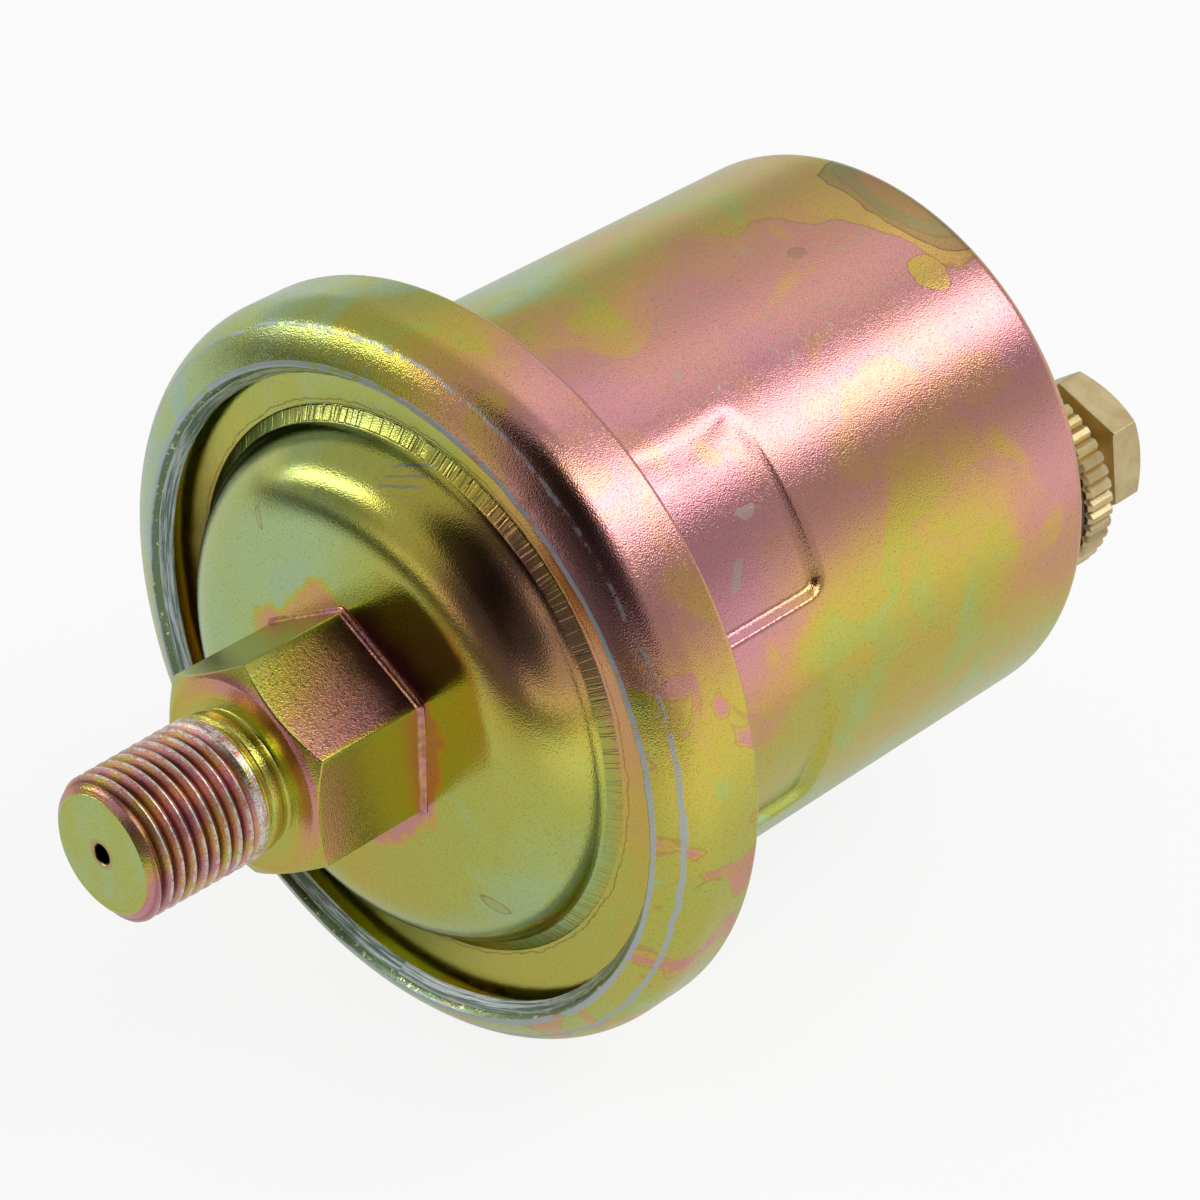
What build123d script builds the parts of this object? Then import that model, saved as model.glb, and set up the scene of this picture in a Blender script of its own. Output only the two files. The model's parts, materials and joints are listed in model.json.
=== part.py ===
"""Mechanical pressure sender, built along X: thread tip at the low end, terminal at the high end.

All sizes are in millimetres. The origin is on the axis, in the part of the thread that
lies in the mouth of the engine's port once the sender is tight, and Z is up as the
sender lies. In a profile the first number is a place along X and the second a radius.
"""

import os
from math import cos, radians, sin, tan

from build123d import *

os.makedirs("parts", exist_ok=True)

# Pressure port: a tapered pipe thread, a neck and a long hexagon, all turned from one bar.
thread_r = 5.08
port_tip_x = -6.9
tip_face_r = thread_r - 1.0
tip_chamfer = 0.95
hex_x = 4.7
thread_end_x = hex_x - 2.3
neck_r = thread_r - 0.58
neck_fillet_r = 0.9
hex_af = 14.0
hex_turn = 29.8
hex_length = 9.2
hex_face_r = hex_af / 2 - 0.2
hex_cone_x = 1.5
orifice_r = 0.65
orifice_length = 3.6
port_bore_r = 2.0
spigot_r = 4.5
spigot_length = 2.0
braze_width = 0.75

# Pressure cap: a drawn steel dome with a flat flange that the can's rim folds over.
cap_sheet = 1.2
cap_height = 4.7
rim_inner_r = 25.0
cap_flange_r = rim_inner_r - 0.8
cap_root_r = rim_inner_r - 5.4
cap_band_r = cap_root_r - 1.05
cap_flat_r = cap_band_r - 5.95
cap_outer_steps = (0, 22.5, 45, 67.5, 90)
cap_inner_steps = (0, 50, 90)
cap_front_x = hex_x + hex_length
cap_shoulder_x = cap_front_x + cap_height
cap_flange_x = cap_shoulder_x + 0.8

# Stack held in the rim, behind the cap flange. The plate's boss guides the push pin.
stack_r = rim_inner_r - 0.1
seal_thickness = 0.5
diaphragm_thickness = 0.3
plate_thickness = 1.8
plate_boss_r = 14.0
plate_boss_height = 2.0
plate_cavity_r = 9.0
plate_cavity_depth = 2.0
pin_running_gap = 0.05
seal_x = cap_flange_x + cap_sheet
diaphragm_x = seal_x + seal_thickness
plate_x = diaphragm_x + diaphragm_thickness
rim_seat_x = plate_x + plate_thickness
boss_top_x = rim_seat_x + plate_boss_height

# Can: a drawn cup whose open end is spread to a flange and then rolled over the cap.
can_r = 20.95
can_sheet = 1.2
can_length = 40.2
can_corner_r = 2.0
can_inner_r = can_r - can_sheet
can_back_x = rim_seat_x + 1.3
can_end_x = can_back_x + can_length
can_floor_x = can_end_x - can_sheet
rim_back_r = rim_inner_r + 1.65
lip_x, lip_r = cap_flange_x - 1.7, rim_inner_r - 1.67
rim_roll_r = rim_back_r - lip_r
rim_roll_steps = (90, 67.5, 45, 22.5, 0)
lip_break_x, lip_break_r = lip_x + 0.55, lip_r - 0.36
lip_edge_x, lip_edge_r = lip_x + 0.85, lip_r - 1.33

# Two pads pressed into the can behind the rim, by angle from +Y towards +Z.
pad_angles = (128.6, 176.8)
pad_span = 32.0
pad_start_x = can_back_x + 2.8
pad_end_x = pad_start_x + 10.3
pad_depth = 1.0
pad_slope = 0.8

# Frame that carries the lever and the resistance card.
frame_sheet = 1.0
frame_base_y = 13.2
frame_rivet_r = 1.2
frame_rivet_y = 11.4
frame_top_x = boss_top_x + frame_sheet
ear_z = 4.6
ear_low_y, ear_high_y = -4.0, 10.0
bridge_x = boss_top_x + 7.8

# Push pin, its clip and its return spring. The pin stops in the plate's cavity.
pin_r = 1.5
pin_disc_r = plate_cavity_r - 1.0
pin_disc_thickness = 0.8
pin_tip_x = bridge_x + frame_sheet + 1.1
clip_x = boss_top_x + 2.2
clip_thickness = 0.7
clip_r = 2.9
spring_mean_r = 2.35
spring_wire_r = 0.28
spring_turns = 3

# Lever on its pivot, with the adjusting screw that the pin pushes.
pivot_x, pivot_y = pin_tip_x + 2.6, 5.0
pivot_r = 1.0
hub_r = 2.4
hub_half = ear_z - 0.4
short_arm_y = -3.2
arm_start_x, arm_end_x = pivot_x - 1.0, pivot_x + 1.0
long_arm_half_y = 1.0
long_arm_half_z = 1.5
screw_r = 1.1
screw_tip_gap = 0.3
screw_end_x = arm_end_x + 3.6
locknut_af = 4.0
locknut_thickness = 1.4
wiper_sheet = 0.4
wiper_half_y = 0.8
wiper_rivet_r = 0.6
contact_r = 0.7
contact_height = 0.8

# Resistance card: an insulating board with the winding round its waist.
former_x, former_end_x = can_floor_x - 10.2, can_floor_x - 3.2
former_low_y, former_high_y = -3.0, 15.0
former_z = ear_z - 1.2
winding_x, winding_end_x = former_x + 1.2, former_end_x - 1.0
winding_low_y, winding_high_y = -0.5, 12.0
winding_wire = 0.4
window_gap = 0.6
card_rivet_x = former_x + 3.6
card_rivet_r = 0.8
card_rivet_low_y, card_rivet_high_y = former_low_y + 1.0, former_high_y - 1.0
ear_end_x = pivot_x + 3.0
card_start_x, card_end_x = former_x - 1.6, former_end_x + 0.8
card_low_y, card_high_y = former_low_y - 1.0, former_high_y + 1.0
contact_x = (winding_x + winding_end_x) / 2
long_arm_x = former_x - 0.6
wiper_rivet_x = long_arm_x - 3.0
wiper_start_x, wiper_end_x = wiper_rivet_x - 3.0, contact_x + 1.2

# Terminal, set off the axis towards -Y.
terminal_y = -(can_r - 7.95)
stud_r = 2.4
stud_head_r = 4.0
stud_head_thickness = 1.6
inner_washer_r = can_inner_r + terminal_y - 1.15
inner_washer_thickness = 1.2
strip_sheet = 0.4
strip_disc_r = 3.8
knurl_r = 7.36
knurl_ridges = 48
knurl_depth = 0.28
knurl_thickness = 2.7
outer_washer_r = knurl_r - 0.46
outer_washer_thickness = 1.1
terminal_hole_r = 4.1
collar_r = 3.4
collar_length = 3.3
nut_af = 9.53
nut_turn = 22.5
nut_thickness = 3.1
nut_chamfer = 0.7
stud_over = 1.1
inner_washer_x = can_floor_x - inner_washer_thickness
strip_x = inner_washer_x - strip_sheet
stud_head_x = strip_x - stud_head_thickness
knurl_x = can_end_x + outer_washer_thickness
collar_x = knurl_x + knurl_thickness
nut_x = collar_x + collar_length
nut_end_x = nut_x + nut_thickness

# Port: turn the round parts, add the hexagon, chamfer its front corners, then drill.
with BuildPart() as pressure_port:
    with BuildSketch(Plane.XY):
        with BuildLine():
            Polyline(
                (port_tip_x, 0), (port_tip_x, tip_face_r), (port_tip_x + tip_chamfer, thread_r),
                (thread_end_x, thread_r), (thread_end_x + thread_r - neck_r, neck_r),
                (hex_x - neck_fillet_r, neck_r), (hex_x, neck_r + neck_fillet_r),
                (hex_x, hex_face_r), (cap_front_x, hex_face_r),
                (cap_front_x, spigot_r), (cap_front_x + spigot_length, spigot_r),
                (cap_front_x + spigot_length, 0), (port_tip_x, 0),
            )
        make_face()
    revolve(axis=Axis.X)
    with BuildSketch(Plane.YZ.offset(hex_x)):
        RegularPolygon(hex_af / 2, 6, major_radius=False, rotation=hex_turn)
    extrude(amount=hex_length)
    with BuildSketch(Plane.XY):
        Polygon(
            (hex_x, hex_face_r), (hex_x + hex_cone_x, hex_face_r + hex_cone_x / tan(radians(30))),
            (hex_x, hex_face_r + hex_cone_x / tan(radians(30))), align=None,
        )
    revolve(axis=Axis.X, mode=Mode.SUBTRACT)
    with BuildSketch(Plane.YZ.offset(port_tip_x)):
        Circle(orifice_r)
    extrude(amount=orifice_length, mode=Mode.SUBTRACT)
    with BuildSketch(Plane.YZ.offset(port_tip_x + orifice_length)):
        Circle(port_bore_r)
    extrude(amount=cap_front_x + spigot_length - port_tip_x - orifice_length, mode=Mode.SUBTRACT)
pressure_port.part.label = "pressure_port"

# Braze: a sloping fillet of filler metal all round the foot of the hexagon.
with BuildPart() as port_braze:
    with BuildSketch(Plane.YZ.offset(cap_front_x)):
        RegularPolygon(hex_af / 2 + braze_width, 6, major_radius=False, rotation=hex_turn)
    extrude(amount=-braze_width, taper=43)
    with BuildSketch(Plane.YZ.offset(cap_front_x)):
        RegularPolygon(hex_af / 2, 6, major_radius=False, rotation=hex_turn)
    extrude(amount=-braze_width * 2, mode=Mode.SUBTRACT)
port_braze.part.label = "port_braze"

# Cap: one drawn sheet, so the inside follows the outside at the sheet's thickness. Its
# shoulder is a quarter of an ellipse, drawn as four short cones to keep the part light.
def cap_curve(depth, steps):
    across = cap_band_r - cap_flat_r - depth
    return [
        (
            cap_shoulder_x - (cap_height - depth) * cos(radians(step)),
            cap_flat_r + across * sin(radians(step)),
        )
        for step in steps
    ]


with BuildPart() as pressure_cap:
    with BuildSketch(Plane.XY):
        with BuildLine():
            Polyline(
                (cap_front_x, spigot_r), *cap_curve(0, cap_outer_steps), (cap_flange_x - 0.12, cap_root_r),
                (cap_flange_x, cap_root_r + 0.2), (cap_flange_x, cap_flange_r),
                (cap_flange_x + cap_sheet, cap_flange_r),
                (cap_flange_x + cap_sheet, cap_band_r - cap_sheet + 0.6),
                *reversed(cap_curve(cap_sheet, cap_inner_steps)),
                (cap_front_x + cap_sheet, spigot_r),
                (cap_front_x, spigot_r),
            )
        make_face()
    revolve(axis=Axis.X)
pressure_cap.part.label = "pressure_cap"

# Sealing ring between the cap flange and the diaphragm.
with BuildPart() as seal_ring:
    with BuildSketch(Plane.YZ.offset(seal_x)):
        Circle(cap_flange_r)
        Circle(cap_root_r, mode=Mode.SUBTRACT)
    extrude(amount=seal_thickness)
seal_ring.part.label = "seal_ring"

# Diaphragm: a thin disc that bulges and pushes the pin.
with BuildPart() as diaphragm:
    with BuildSketch(Plane.YZ.offset(diaphragm_x)):
        Circle(stack_r)
    extrude(amount=diaphragm_thickness)
diaphragm.part.label = "diaphragm"

# Base plate: closes the stack, guides the pin in its boss and gives the pin its stop.
with BuildPart() as base_plate:
    with BuildSketch(Plane.YZ.offset(plate_x)):
        Circle(stack_r)
    extrude(amount=plate_thickness)
    with BuildSketch(Plane.YZ.offset(rim_seat_x)):
        Circle(plate_boss_r)
    extrude(amount=plate_boss_height)
    with BuildSketch(Plane.YZ.offset(plate_x)):
        Circle(plate_cavity_r)
    extrude(amount=plate_cavity_depth, mode=Mode.SUBTRACT)
    with BuildSketch(Plane.YZ.offset(plate_x)):
        Circle(pin_r + pin_running_gap)
        with Locations((frame_rivet_y, 0), (-frame_rivet_y, 0)):
            Circle(frame_rivet_r)
    extrude(amount=plate_thickness + plate_boss_height, mode=Mode.SUBTRACT)
base_plate.part.label = "base_plate"

# Push pin: a wide foot on the diaphragm and a long stem, turned in one piece.
with BuildPart() as push_pin:
    with BuildSketch(Plane.YZ.offset(plate_x)):
        Circle(pin_disc_r)
    extrude(amount=pin_disc_thickness)
    with BuildSketch(Plane.YZ.offset(plate_x)):
        Circle(pin_r)
    extrude(amount=pin_tip_x - plate_x)
    chamfer(push_pin.edges().sort_by(Axis.X)[-1], 0.5)
push_pin.part.label = "push_pin"

# Clip: a spring seat pressed on the stem.
with BuildPart() as pin_clip:
    with BuildSketch(Plane.YZ.offset(clip_x)):
        Circle(clip_r)
        Circle(pin_r, mode=Mode.SUBTRACT)
    extrude(amount=clip_thickness)
pin_clip.part.label = "pin_clip"

# Return spring between the clip and the frame's bridge.
spring_x = clip_x + clip_thickness + spring_wire_r
spring_height = bridge_x - spring_x - spring_wire_r
with BuildPart() as return_spring:
    with BuildLine():
        coil = Helix(
            spring_height / spring_turns, spring_height, spring_mean_r,
            center=(spring_x, 0, 0), direction=(1, 0, 0),
        )
    with BuildSketch(Plane(origin=coil @ 0, z_dir=coil % 0)):
        RegularPolygon(spring_wire_r, 6)
    sweep(path=coil)
return_spring.part.label = "return_spring"

# Can: the wall, the end, the rolled rim and its folded lip are one drawn sheet. The rim
# is a quarter round from its outer wall to the lip, drawn as four short cones.
rim_roll = [
    (
        lip_x + rim_roll_r * (1 - cos(radians(step))),
        lip_r + rim_roll_r * sin(radians(step)),
    )
    for step in rim_roll_steps
]
with BuildPart() as housing_can:
    with BuildSketch(Plane.XY):
        with BuildLine():
            Polyline(
                (can_end_x, 0), (can_end_x, can_r - can_corner_r),
                (can_end_x - can_corner_r * 0.13, can_r - can_corner_r * 0.5),
                (can_end_x - can_corner_r * 0.5, can_r - can_corner_r * 0.13),
                (can_end_x - can_corner_r, can_r), (can_back_x + 0.8, can_r),
                (can_back_x, can_r + 0.8), (can_back_x, rim_back_r - 0.4),
                (can_back_x - 0.4, rim_back_r), *rim_roll,
                (lip_break_x, lip_break_r), (lip_edge_x, lip_edge_r),
                (cap_flange_x, lip_edge_r + 0.3), (cap_flange_x, cap_flange_r),
                (cap_flange_x + 1.1, rim_inner_r), (rim_seat_x, rim_inner_r),
                (rim_seat_x, can_inner_r), (can_floor_x - 0.6, can_inner_r),
                (can_floor_x, can_inner_r - 0.6), (can_floor_x, 0), (can_end_x, 0),
            )
        make_face()
    revolve(axis=Axis.X)
    for angle in pad_angles:
        with BuildSketch(Plane(
            origin=(0, 0, 0), x_dir=(1, 0, 0),
            z_dir=(0, -sin(radians(angle - 3)), cos(radians(angle - 3))),
        )):
            Polygon(
                (pad_start_x - 1.6, can_inner_r + 0.3), (pad_start_x - 0.6, can_inner_r - pad_depth),
                (pad_end_x + 0.4, can_inner_r - pad_depth), (pad_end_x + 1.4, can_inner_r + 0.3),
                align=None,
            )
        revolve(axis=Axis.X, revolution_arc=pad_span + 6)
        with BuildSketch(Plane(
            origin=(0, 0, 0), x_dir=(1, 0, 0),
            z_dir=(0, -sin(radians(angle)), cos(radians(angle))),
        )):
            Polygon(
                (pad_start_x - pad_slope, can_r + 0.1), (pad_start_x, can_r - pad_depth),
                (pad_end_x, can_r - pad_depth), (pad_end_x + pad_slope * 1.1, can_r + 0.1),
                align=None,
            )
        revolve(axis=Axis.X, revolution_arc=pad_span, mode=Mode.SUBTRACT)
    with BuildSketch(Plane.YZ.offset(can_floor_x)):
        with Locations((terminal_y, 0)):
            Circle(terminal_hole_r)
    extrude(amount=can_sheet, mode=Mode.SUBTRACT)
housing_can.part.label = "housing_can"

# Frame: base, two ears, the bridge over the pin, and a long plate that carries the card.
with BuildPart() as frame_bracket:
    with BuildSketch(Plane.YZ.offset(boss_top_x)):
        Rectangle(frame_base_y * 2, (ear_z + frame_sheet) * 2)
        Circle(pin_r + 0.35, mode=Mode.SUBTRACT)
        with Locations((frame_rivet_y, 0), (-frame_rivet_y, 0)):
            Circle(frame_rivet_r, mode=Mode.SUBTRACT)
    extrude(amount=frame_sheet)
    with BuildSketch(Plane.XY.offset(ear_z)):
        with Locations(((boss_top_x + ear_end_x) / 2, (ear_low_y + ear_high_y) / 2)):
            Rectangle(ear_end_x - boss_top_x, ear_high_y - ear_low_y)
        with Locations(((ear_end_x + card_start_x) / 2, (ear_low_y + ear_high_y) / 2)):
            Rectangle(card_start_x - ear_end_x, ear_high_y - ear_low_y)
        with Locations(((card_start_x + card_end_x) / 2, (card_low_y + card_high_y) / 2)):
            Rectangle(card_end_x - card_start_x, card_high_y - card_low_y)
        with Locations((
            (winding_x + winding_end_x) / 2, (winding_low_y + winding_high_y) / 2,
        )):
            Rectangle(
                winding_end_x - winding_x + window_gap * 2,
                winding_high_y - winding_low_y + window_gap * 2, mode=Mode.SUBTRACT,
            )
        with Locations((card_rivet_x, card_rivet_low_y), (card_rivet_x, card_rivet_high_y)):
            Circle(card_rivet_r, mode=Mode.SUBTRACT)
    extrude(amount=frame_sheet)
    with BuildSketch(Plane.XY.offset(-ear_z)):
        with Locations(((boss_top_x + ear_end_x) / 2, (ear_low_y + ear_high_y) / 2)):
            Rectangle(ear_end_x - boss_top_x, ear_high_y - ear_low_y)
    extrude(amount=-frame_sheet)
    with BuildSketch(Plane.XY.offset(-ear_z - frame_sheet)):
        with Locations((pivot_x, pivot_y)):
            Circle(pivot_r)
    extrude(amount=(ear_z + frame_sheet) * 2, mode=Mode.SUBTRACT)
    with BuildSketch(Plane.YZ.offset(bridge_x)):
        Rectangle(-ear_low_y * 2, ear_z * 2)
        Circle(pin_r + 0.35, mode=Mode.SUBTRACT)
    extrude(amount=frame_sheet)
frame_bracket.part.label = "frame_bracket"

# Two rivets hold the frame to the boss. Both are the same piece.
with BuildPart() as frame_rivet:
    with BuildSketch(Plane.YZ.offset(plate_x)):
        with Locations((frame_rivet_y, 0), (-frame_rivet_y, 0)):
            Circle(frame_rivet_r)
    extrude(amount=frame_top_x - plate_x)
    with BuildSketch(Plane.YZ.offset(frame_top_x)):
        with Locations((frame_rivet_y, 0), (-frame_rivet_y, 0)):
            Circle(frame_rivet_r + 0.6)
    extrude(amount=0.7)
frame_rivet.part.label = "frame_rivet"

# Pivot pin, pressed in both ears.
with BuildPart() as pivot_pin:
    with BuildSketch(Plane.XY.offset(-ear_z - frame_sheet)):
        with Locations((pivot_x, pivot_y)):
            Circle(pivot_r)
    extrude(amount=(ear_z + frame_sheet) * 2)
pivot_pin.part.label = "pivot_pin"

# Rocker: a hub on the pivot, a short arm over the push pin and a long arm to the card.
with BuildPart() as rocker_lever:
    with BuildSketch(Plane.XY.offset(-hub_half)):
        with Locations((pivot_x, pivot_y)):
            Circle(hub_r)
    extrude(amount=hub_half * 2)
    with BuildSketch(Plane.XY.offset(-2.5)):
        with Locations(((arm_start_x + arm_end_x) / 2, (short_arm_y + pivot_y) / 2)):
            Rectangle(arm_end_x - arm_start_x, pivot_y - short_arm_y)
    extrude(amount=5)
    with BuildSketch(Plane.XY.offset(-long_arm_half_z)):
        with Locations(((pivot_x + long_arm_x) / 2, pivot_y)):
            Rectangle(long_arm_x - pivot_x, long_arm_half_y * 2)
    extrude(amount=long_arm_half_z * 2)
    with BuildSketch(Plane.XY.offset(-hub_half)):
        with Locations((pivot_x, pivot_y)):
            Circle(pivot_r + pin_running_gap)
        with Locations((wiper_rivet_x, pivot_y)):
            Circle(wiper_rivet_r)
    extrude(amount=hub_half * 2, mode=Mode.SUBTRACT)
    with BuildSketch(Plane.YZ.offset(arm_start_x)):
        Circle(screw_r)
    extrude(amount=arm_end_x - arm_start_x, mode=Mode.SUBTRACT)
rocker_lever.part.label = "rocker_lever"

# Adjusting screw: its tip takes the pin's push and its slot sets the reading.
with BuildPart() as adjusting_screw:
    with BuildSketch(Plane.YZ.offset(pin_tip_x + screw_tip_gap)):
        Circle(screw_r)
    extrude(amount=screw_end_x - pin_tip_x - screw_tip_gap)
    with BuildSketch(Plane.YZ.offset(screw_end_x)):
        Rectangle(screw_r * 3, 0.5)
    extrude(amount=-0.8, mode=Mode.SUBTRACT)
adjusting_screw.part.label = "adjusting_screw"

with BuildPart() as adjusting_locknut:
    with BuildSketch(Plane.YZ.offset(arm_end_x)):
        RegularPolygon(locknut_af / 2, 6, major_radius=False)
        Circle(screw_r, mode=Mode.SUBTRACT)
    extrude(amount=locknut_thickness)
adjusting_locknut.part.label = "adjusting_locknut"

# Wiper: a springy strip riveted to the long arm, with a contact bead over the winding.
with BuildPart() as wiper_arm:
    with BuildSketch(Plane.XY.offset(long_arm_half_z)):
        with Locations(((wiper_start_x + wiper_end_x) / 2, pivot_y)):
            Rectangle(wiper_end_x - wiper_start_x, wiper_half_y * 2)
        with Locations((wiper_rivet_x, pivot_y)):
            Circle(wiper_rivet_r, mode=Mode.SUBTRACT)
    extrude(amount=wiper_sheet)
wiper_arm.part.label = "wiper_arm"

with BuildPart() as wiper_rivet:
    with BuildSketch(Plane.XY.offset(-long_arm_half_z)):
        with Locations((wiper_rivet_x, pivot_y)):
            Circle(wiper_rivet_r)
    extrude(amount=long_arm_half_z * 2 + wiper_sheet)
    with BuildSketch(
        Plane.XY.offset(-long_arm_half_z - 0.4), Plane.XY.offset(long_arm_half_z + wiper_sheet)
    ):
        with Locations((wiper_rivet_x, pivot_y)):
            Circle(wiper_rivet_r + 0.3)
    extrude(amount=0.4)
wiper_rivet.part.label = "wiper_rivet"

with BuildPart() as wiper_contact:
    with BuildSketch(Plane.XY.offset(long_arm_half_z + wiper_sheet)):
        with Locations((contact_x, pivot_y)):
            Circle(contact_r)
    extrude(amount=contact_height)
    chamfer(wiper_contact.edges().sort_by(Axis.Z)[-1], 0.3)
wiper_contact.part.label = "wiper_contact"

# Card: the insulating former lies on the frame, and the winding goes round its waist.
with BuildPart() as resistor_former:
    with BuildSketch(Plane.XY.offset(former_z)):
        with Locations(((former_x + former_end_x) / 2, (former_low_y + former_high_y) / 2)):
            Rectangle(former_end_x - former_x, former_high_y - former_low_y)
        with Locations((card_rivet_x, card_rivet_low_y), (card_rivet_x, card_rivet_high_y)):
            Circle(card_rivet_r, mode=Mode.SUBTRACT)
        with Locations(
            ((former_x + winding_x + winding_wire) / 2, (winding_low_y + winding_high_y) / 2),
            ((former_end_x + winding_end_x - winding_wire) / 2, (winding_low_y + winding_high_y) / 2),
        ):
            Rectangle(
                winding_x + winding_wire - former_x, winding_high_y - winding_low_y,
                mode=Mode.SUBTRACT,
            )
    extrude(amount=ear_z - former_z)
resistor_former.part.label = "resistor_former"

with BuildPart() as resistance_winding:
    with BuildSketch(Plane.XZ.offset(-winding_low_y)):
        with Locations(((winding_x + winding_end_x) / 2, (former_z + ear_z) / 2)):
            Rectangle(winding_end_x - winding_x, ear_z - former_z + winding_wire * 2)
            Rectangle(
                winding_end_x - winding_x - winding_wire * 2, ear_z - former_z, mode=Mode.SUBTRACT
            )
    extrude(amount=-(winding_high_y - winding_low_y))
resistance_winding.part.label = "resistance_winding"

# Two rivets hold the card. Both are the same piece; one also holds the contact strip.
with BuildPart() as card_rivet:
    for rivet_y, head_z in (
        (card_rivet_low_y, former_z - strip_sheet), (card_rivet_high_y, former_z),
    ):
        with BuildSketch(Plane.XY.offset(head_z)):
            with Locations((card_rivet_x, rivet_y)):
                Circle(card_rivet_r)
        extrude(amount=ear_z + frame_sheet - head_z)
        with BuildSketch(Plane.XY.offset(head_z)):
            with Locations((card_rivet_x, rivet_y)):
                Circle(card_rivet_r + 0.4)
        extrude(amount=-0.4)
        with BuildSketch(Plane.XY.offset(ear_z + frame_sheet)):
            with Locations((card_rivet_x, rivet_y)):
                Circle(card_rivet_r + 0.4)
        extrude(amount=0.4)
card_rivet.part.label = "card_rivet"

# Contact strip: an eye on the terminal stud, then a tongue bent down to the winding.
with BuildPart() as contact_strip:
    with BuildSketch(Plane.YZ.offset(strip_x)):
        with Locations((terminal_y, 0)):
            Circle(strip_disc_r)
        with Locations(((terminal_y + winding_low_y) / 2, 0)):
            Rectangle(winding_low_y - terminal_y, 3)
        with Locations(((former_low_y + winding_low_y) / 2, (former_z - 1.5) / 2)):
            Rectangle(winding_low_y - former_low_y, former_z + 1.5)
        with Locations((terminal_y, 0)):
            Circle(stud_r, mode=Mode.SUBTRACT)
    extrude(amount=strip_sheet)
    with BuildSketch(Plane.XY.offset(former_z)):
        with Locations((
            (winding_x + strip_x) / 2, (former_low_y + winding_low_y) / 2,
        )):
            Rectangle(strip_x - winding_x, winding_low_y - former_low_y)
        with Locations((card_rivet_x, card_rivet_low_y)):
            Circle(card_rivet_r, mode=Mode.SUBTRACT)
    extrude(amount=-strip_sheet)
contact_strip.part.label = "contact_strip"

# Terminal: stud with its head inside, one insulating washer on each side of the can's end.
with BuildPart() as terminal_stud:
    with BuildSketch(Plane.YZ.offset(stud_head_x)):
        with Locations((terminal_y, 0)):
            Circle(stud_head_r)
    extrude(amount=stud_head_thickness)
    with BuildSketch(Plane.YZ.offset(strip_x)):
        with Locations((terminal_y, 0)):
            Circle(stud_r)
    extrude(amount=nut_end_x + stud_over - strip_x)
    chamfer(terminal_stud.edges().sort_by(Axis.X)[-1], 0.4)
terminal_stud.part.label = "terminal_stud"

with BuildPart() as inner_washer:
    with BuildSketch(Plane.YZ.offset(inner_washer_x)):
        with Locations((terminal_y, 0)):
            Circle(inner_washer_r)
            Circle(stud_r, mode=Mode.SUBTRACT)
    extrude(amount=inner_washer_thickness)
inner_washer.part.label = "inner_washer"

with BuildPart() as outer_washer:
    with BuildSketch(Plane.YZ.offset(can_end_x)):
        with Locations((terminal_y, 0)):
            Circle(outer_washer_r)
    extrude(amount=outer_washer_thickness)
    with BuildSketch(Plane.YZ.offset(can_floor_x)):
        with Locations((terminal_y, 0)):
            Circle(terminal_hole_r)
    extrude(amount=can_sheet)
    with BuildSketch(Plane.YZ.offset(can_floor_x)):
        with Locations((terminal_y, 0)):
            Circle(stud_r)
    extrude(amount=can_sheet + outer_washer_thickness, mode=Mode.SUBTRACT)
outer_washer.part.label = "outer_washer"

# Knurled nut: straight grooves all round, and a plain collar that lifts the outer nut.
with BuildPart() as knurled_nut:
    with BuildSketch(Plane.YZ.offset(knurl_x)):
        with Locations((terminal_y, 0)):
            Circle(knurl_r)
            with PolarLocations(knurl_r, knurl_ridges):
                Rectangle(knurl_depth * 1.4142, knurl_depth * 1.4142, rotation=45, mode=Mode.SUBTRACT)
    extrude(amount=knurl_thickness)
    with BuildSketch(Plane.YZ.offset(collar_x)):
        with Locations((terminal_y, 0)):
            Circle(collar_r)
    extrude(amount=collar_length)
    with BuildSketch(Plane.YZ.offset(knurl_x)):
        with Locations((terminal_y, 0)):
            Circle(stud_r)
    extrude(amount=knurl_thickness + collar_length, mode=Mode.SUBTRACT)
knurled_nut.part.label = "knurled_nut"

# Outer nut: a hexagon whose far corners are turned off to a cone.
with BuildPart() as hex_nut:
    with BuildSketch(Plane.YZ.offset(nut_x)):
        with Locations((terminal_y, 0)):
            RegularPolygon(nut_af / 2, 6, major_radius=False, rotation=nut_turn)
    extrude(amount=nut_thickness)
    with BuildSketch(Plane.XY):
        Polygon(
            (nut_end_x + 0.01, terminal_y - nut_af / 2 + 0.1),
            (nut_end_x - nut_chamfer, terminal_y - nut_af / 2 + 0.1 - nut_chamfer * 2),
            (nut_end_x + 0.01, terminal_y - nut_af / 2 + 0.1 - nut_chamfer * 2), align=None,
        )
    revolve(axis=Axis((0, terminal_y, 0), (1, 0, 0)), mode=Mode.SUBTRACT)
    with BuildSketch(Plane.YZ.offset(nut_x)):
        with Locations((terminal_y, 0)):
            Circle(stud_r)
    extrude(amount=nut_thickness, mode=Mode.SUBTRACT)
hex_nut.part.label = "hex_nut"

export_step(pressure_port.part, "parts/pressure_port.step")
export_step(port_braze.part, "parts/port_braze.step")
export_step(pressure_cap.part, "parts/pressure_cap.step")
export_step(seal_ring.part, "parts/seal_ring.step")
export_step(diaphragm.part, "parts/diaphragm.step")
export_step(base_plate.part, "parts/base_plate.step")
export_step(push_pin.part, "parts/push_pin.step")
export_step(pin_clip.part, "parts/pin_clip.step")
export_step(return_spring.part, "parts/return_spring.step")
export_step(housing_can.part, "parts/housing_can.step")
export_step(frame_bracket.part, "parts/frame_bracket.step")
export_step(frame_rivet.part, "parts/frame_rivet.step")
export_step(pivot_pin.part, "parts/pivot_pin.step")
export_step(rocker_lever.part, "parts/rocker_lever.step")
export_step(adjusting_screw.part, "parts/adjusting_screw.step")
export_step(adjusting_locknut.part, "parts/adjusting_locknut.step")
export_step(wiper_arm.part, "parts/wiper_arm.step")
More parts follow.
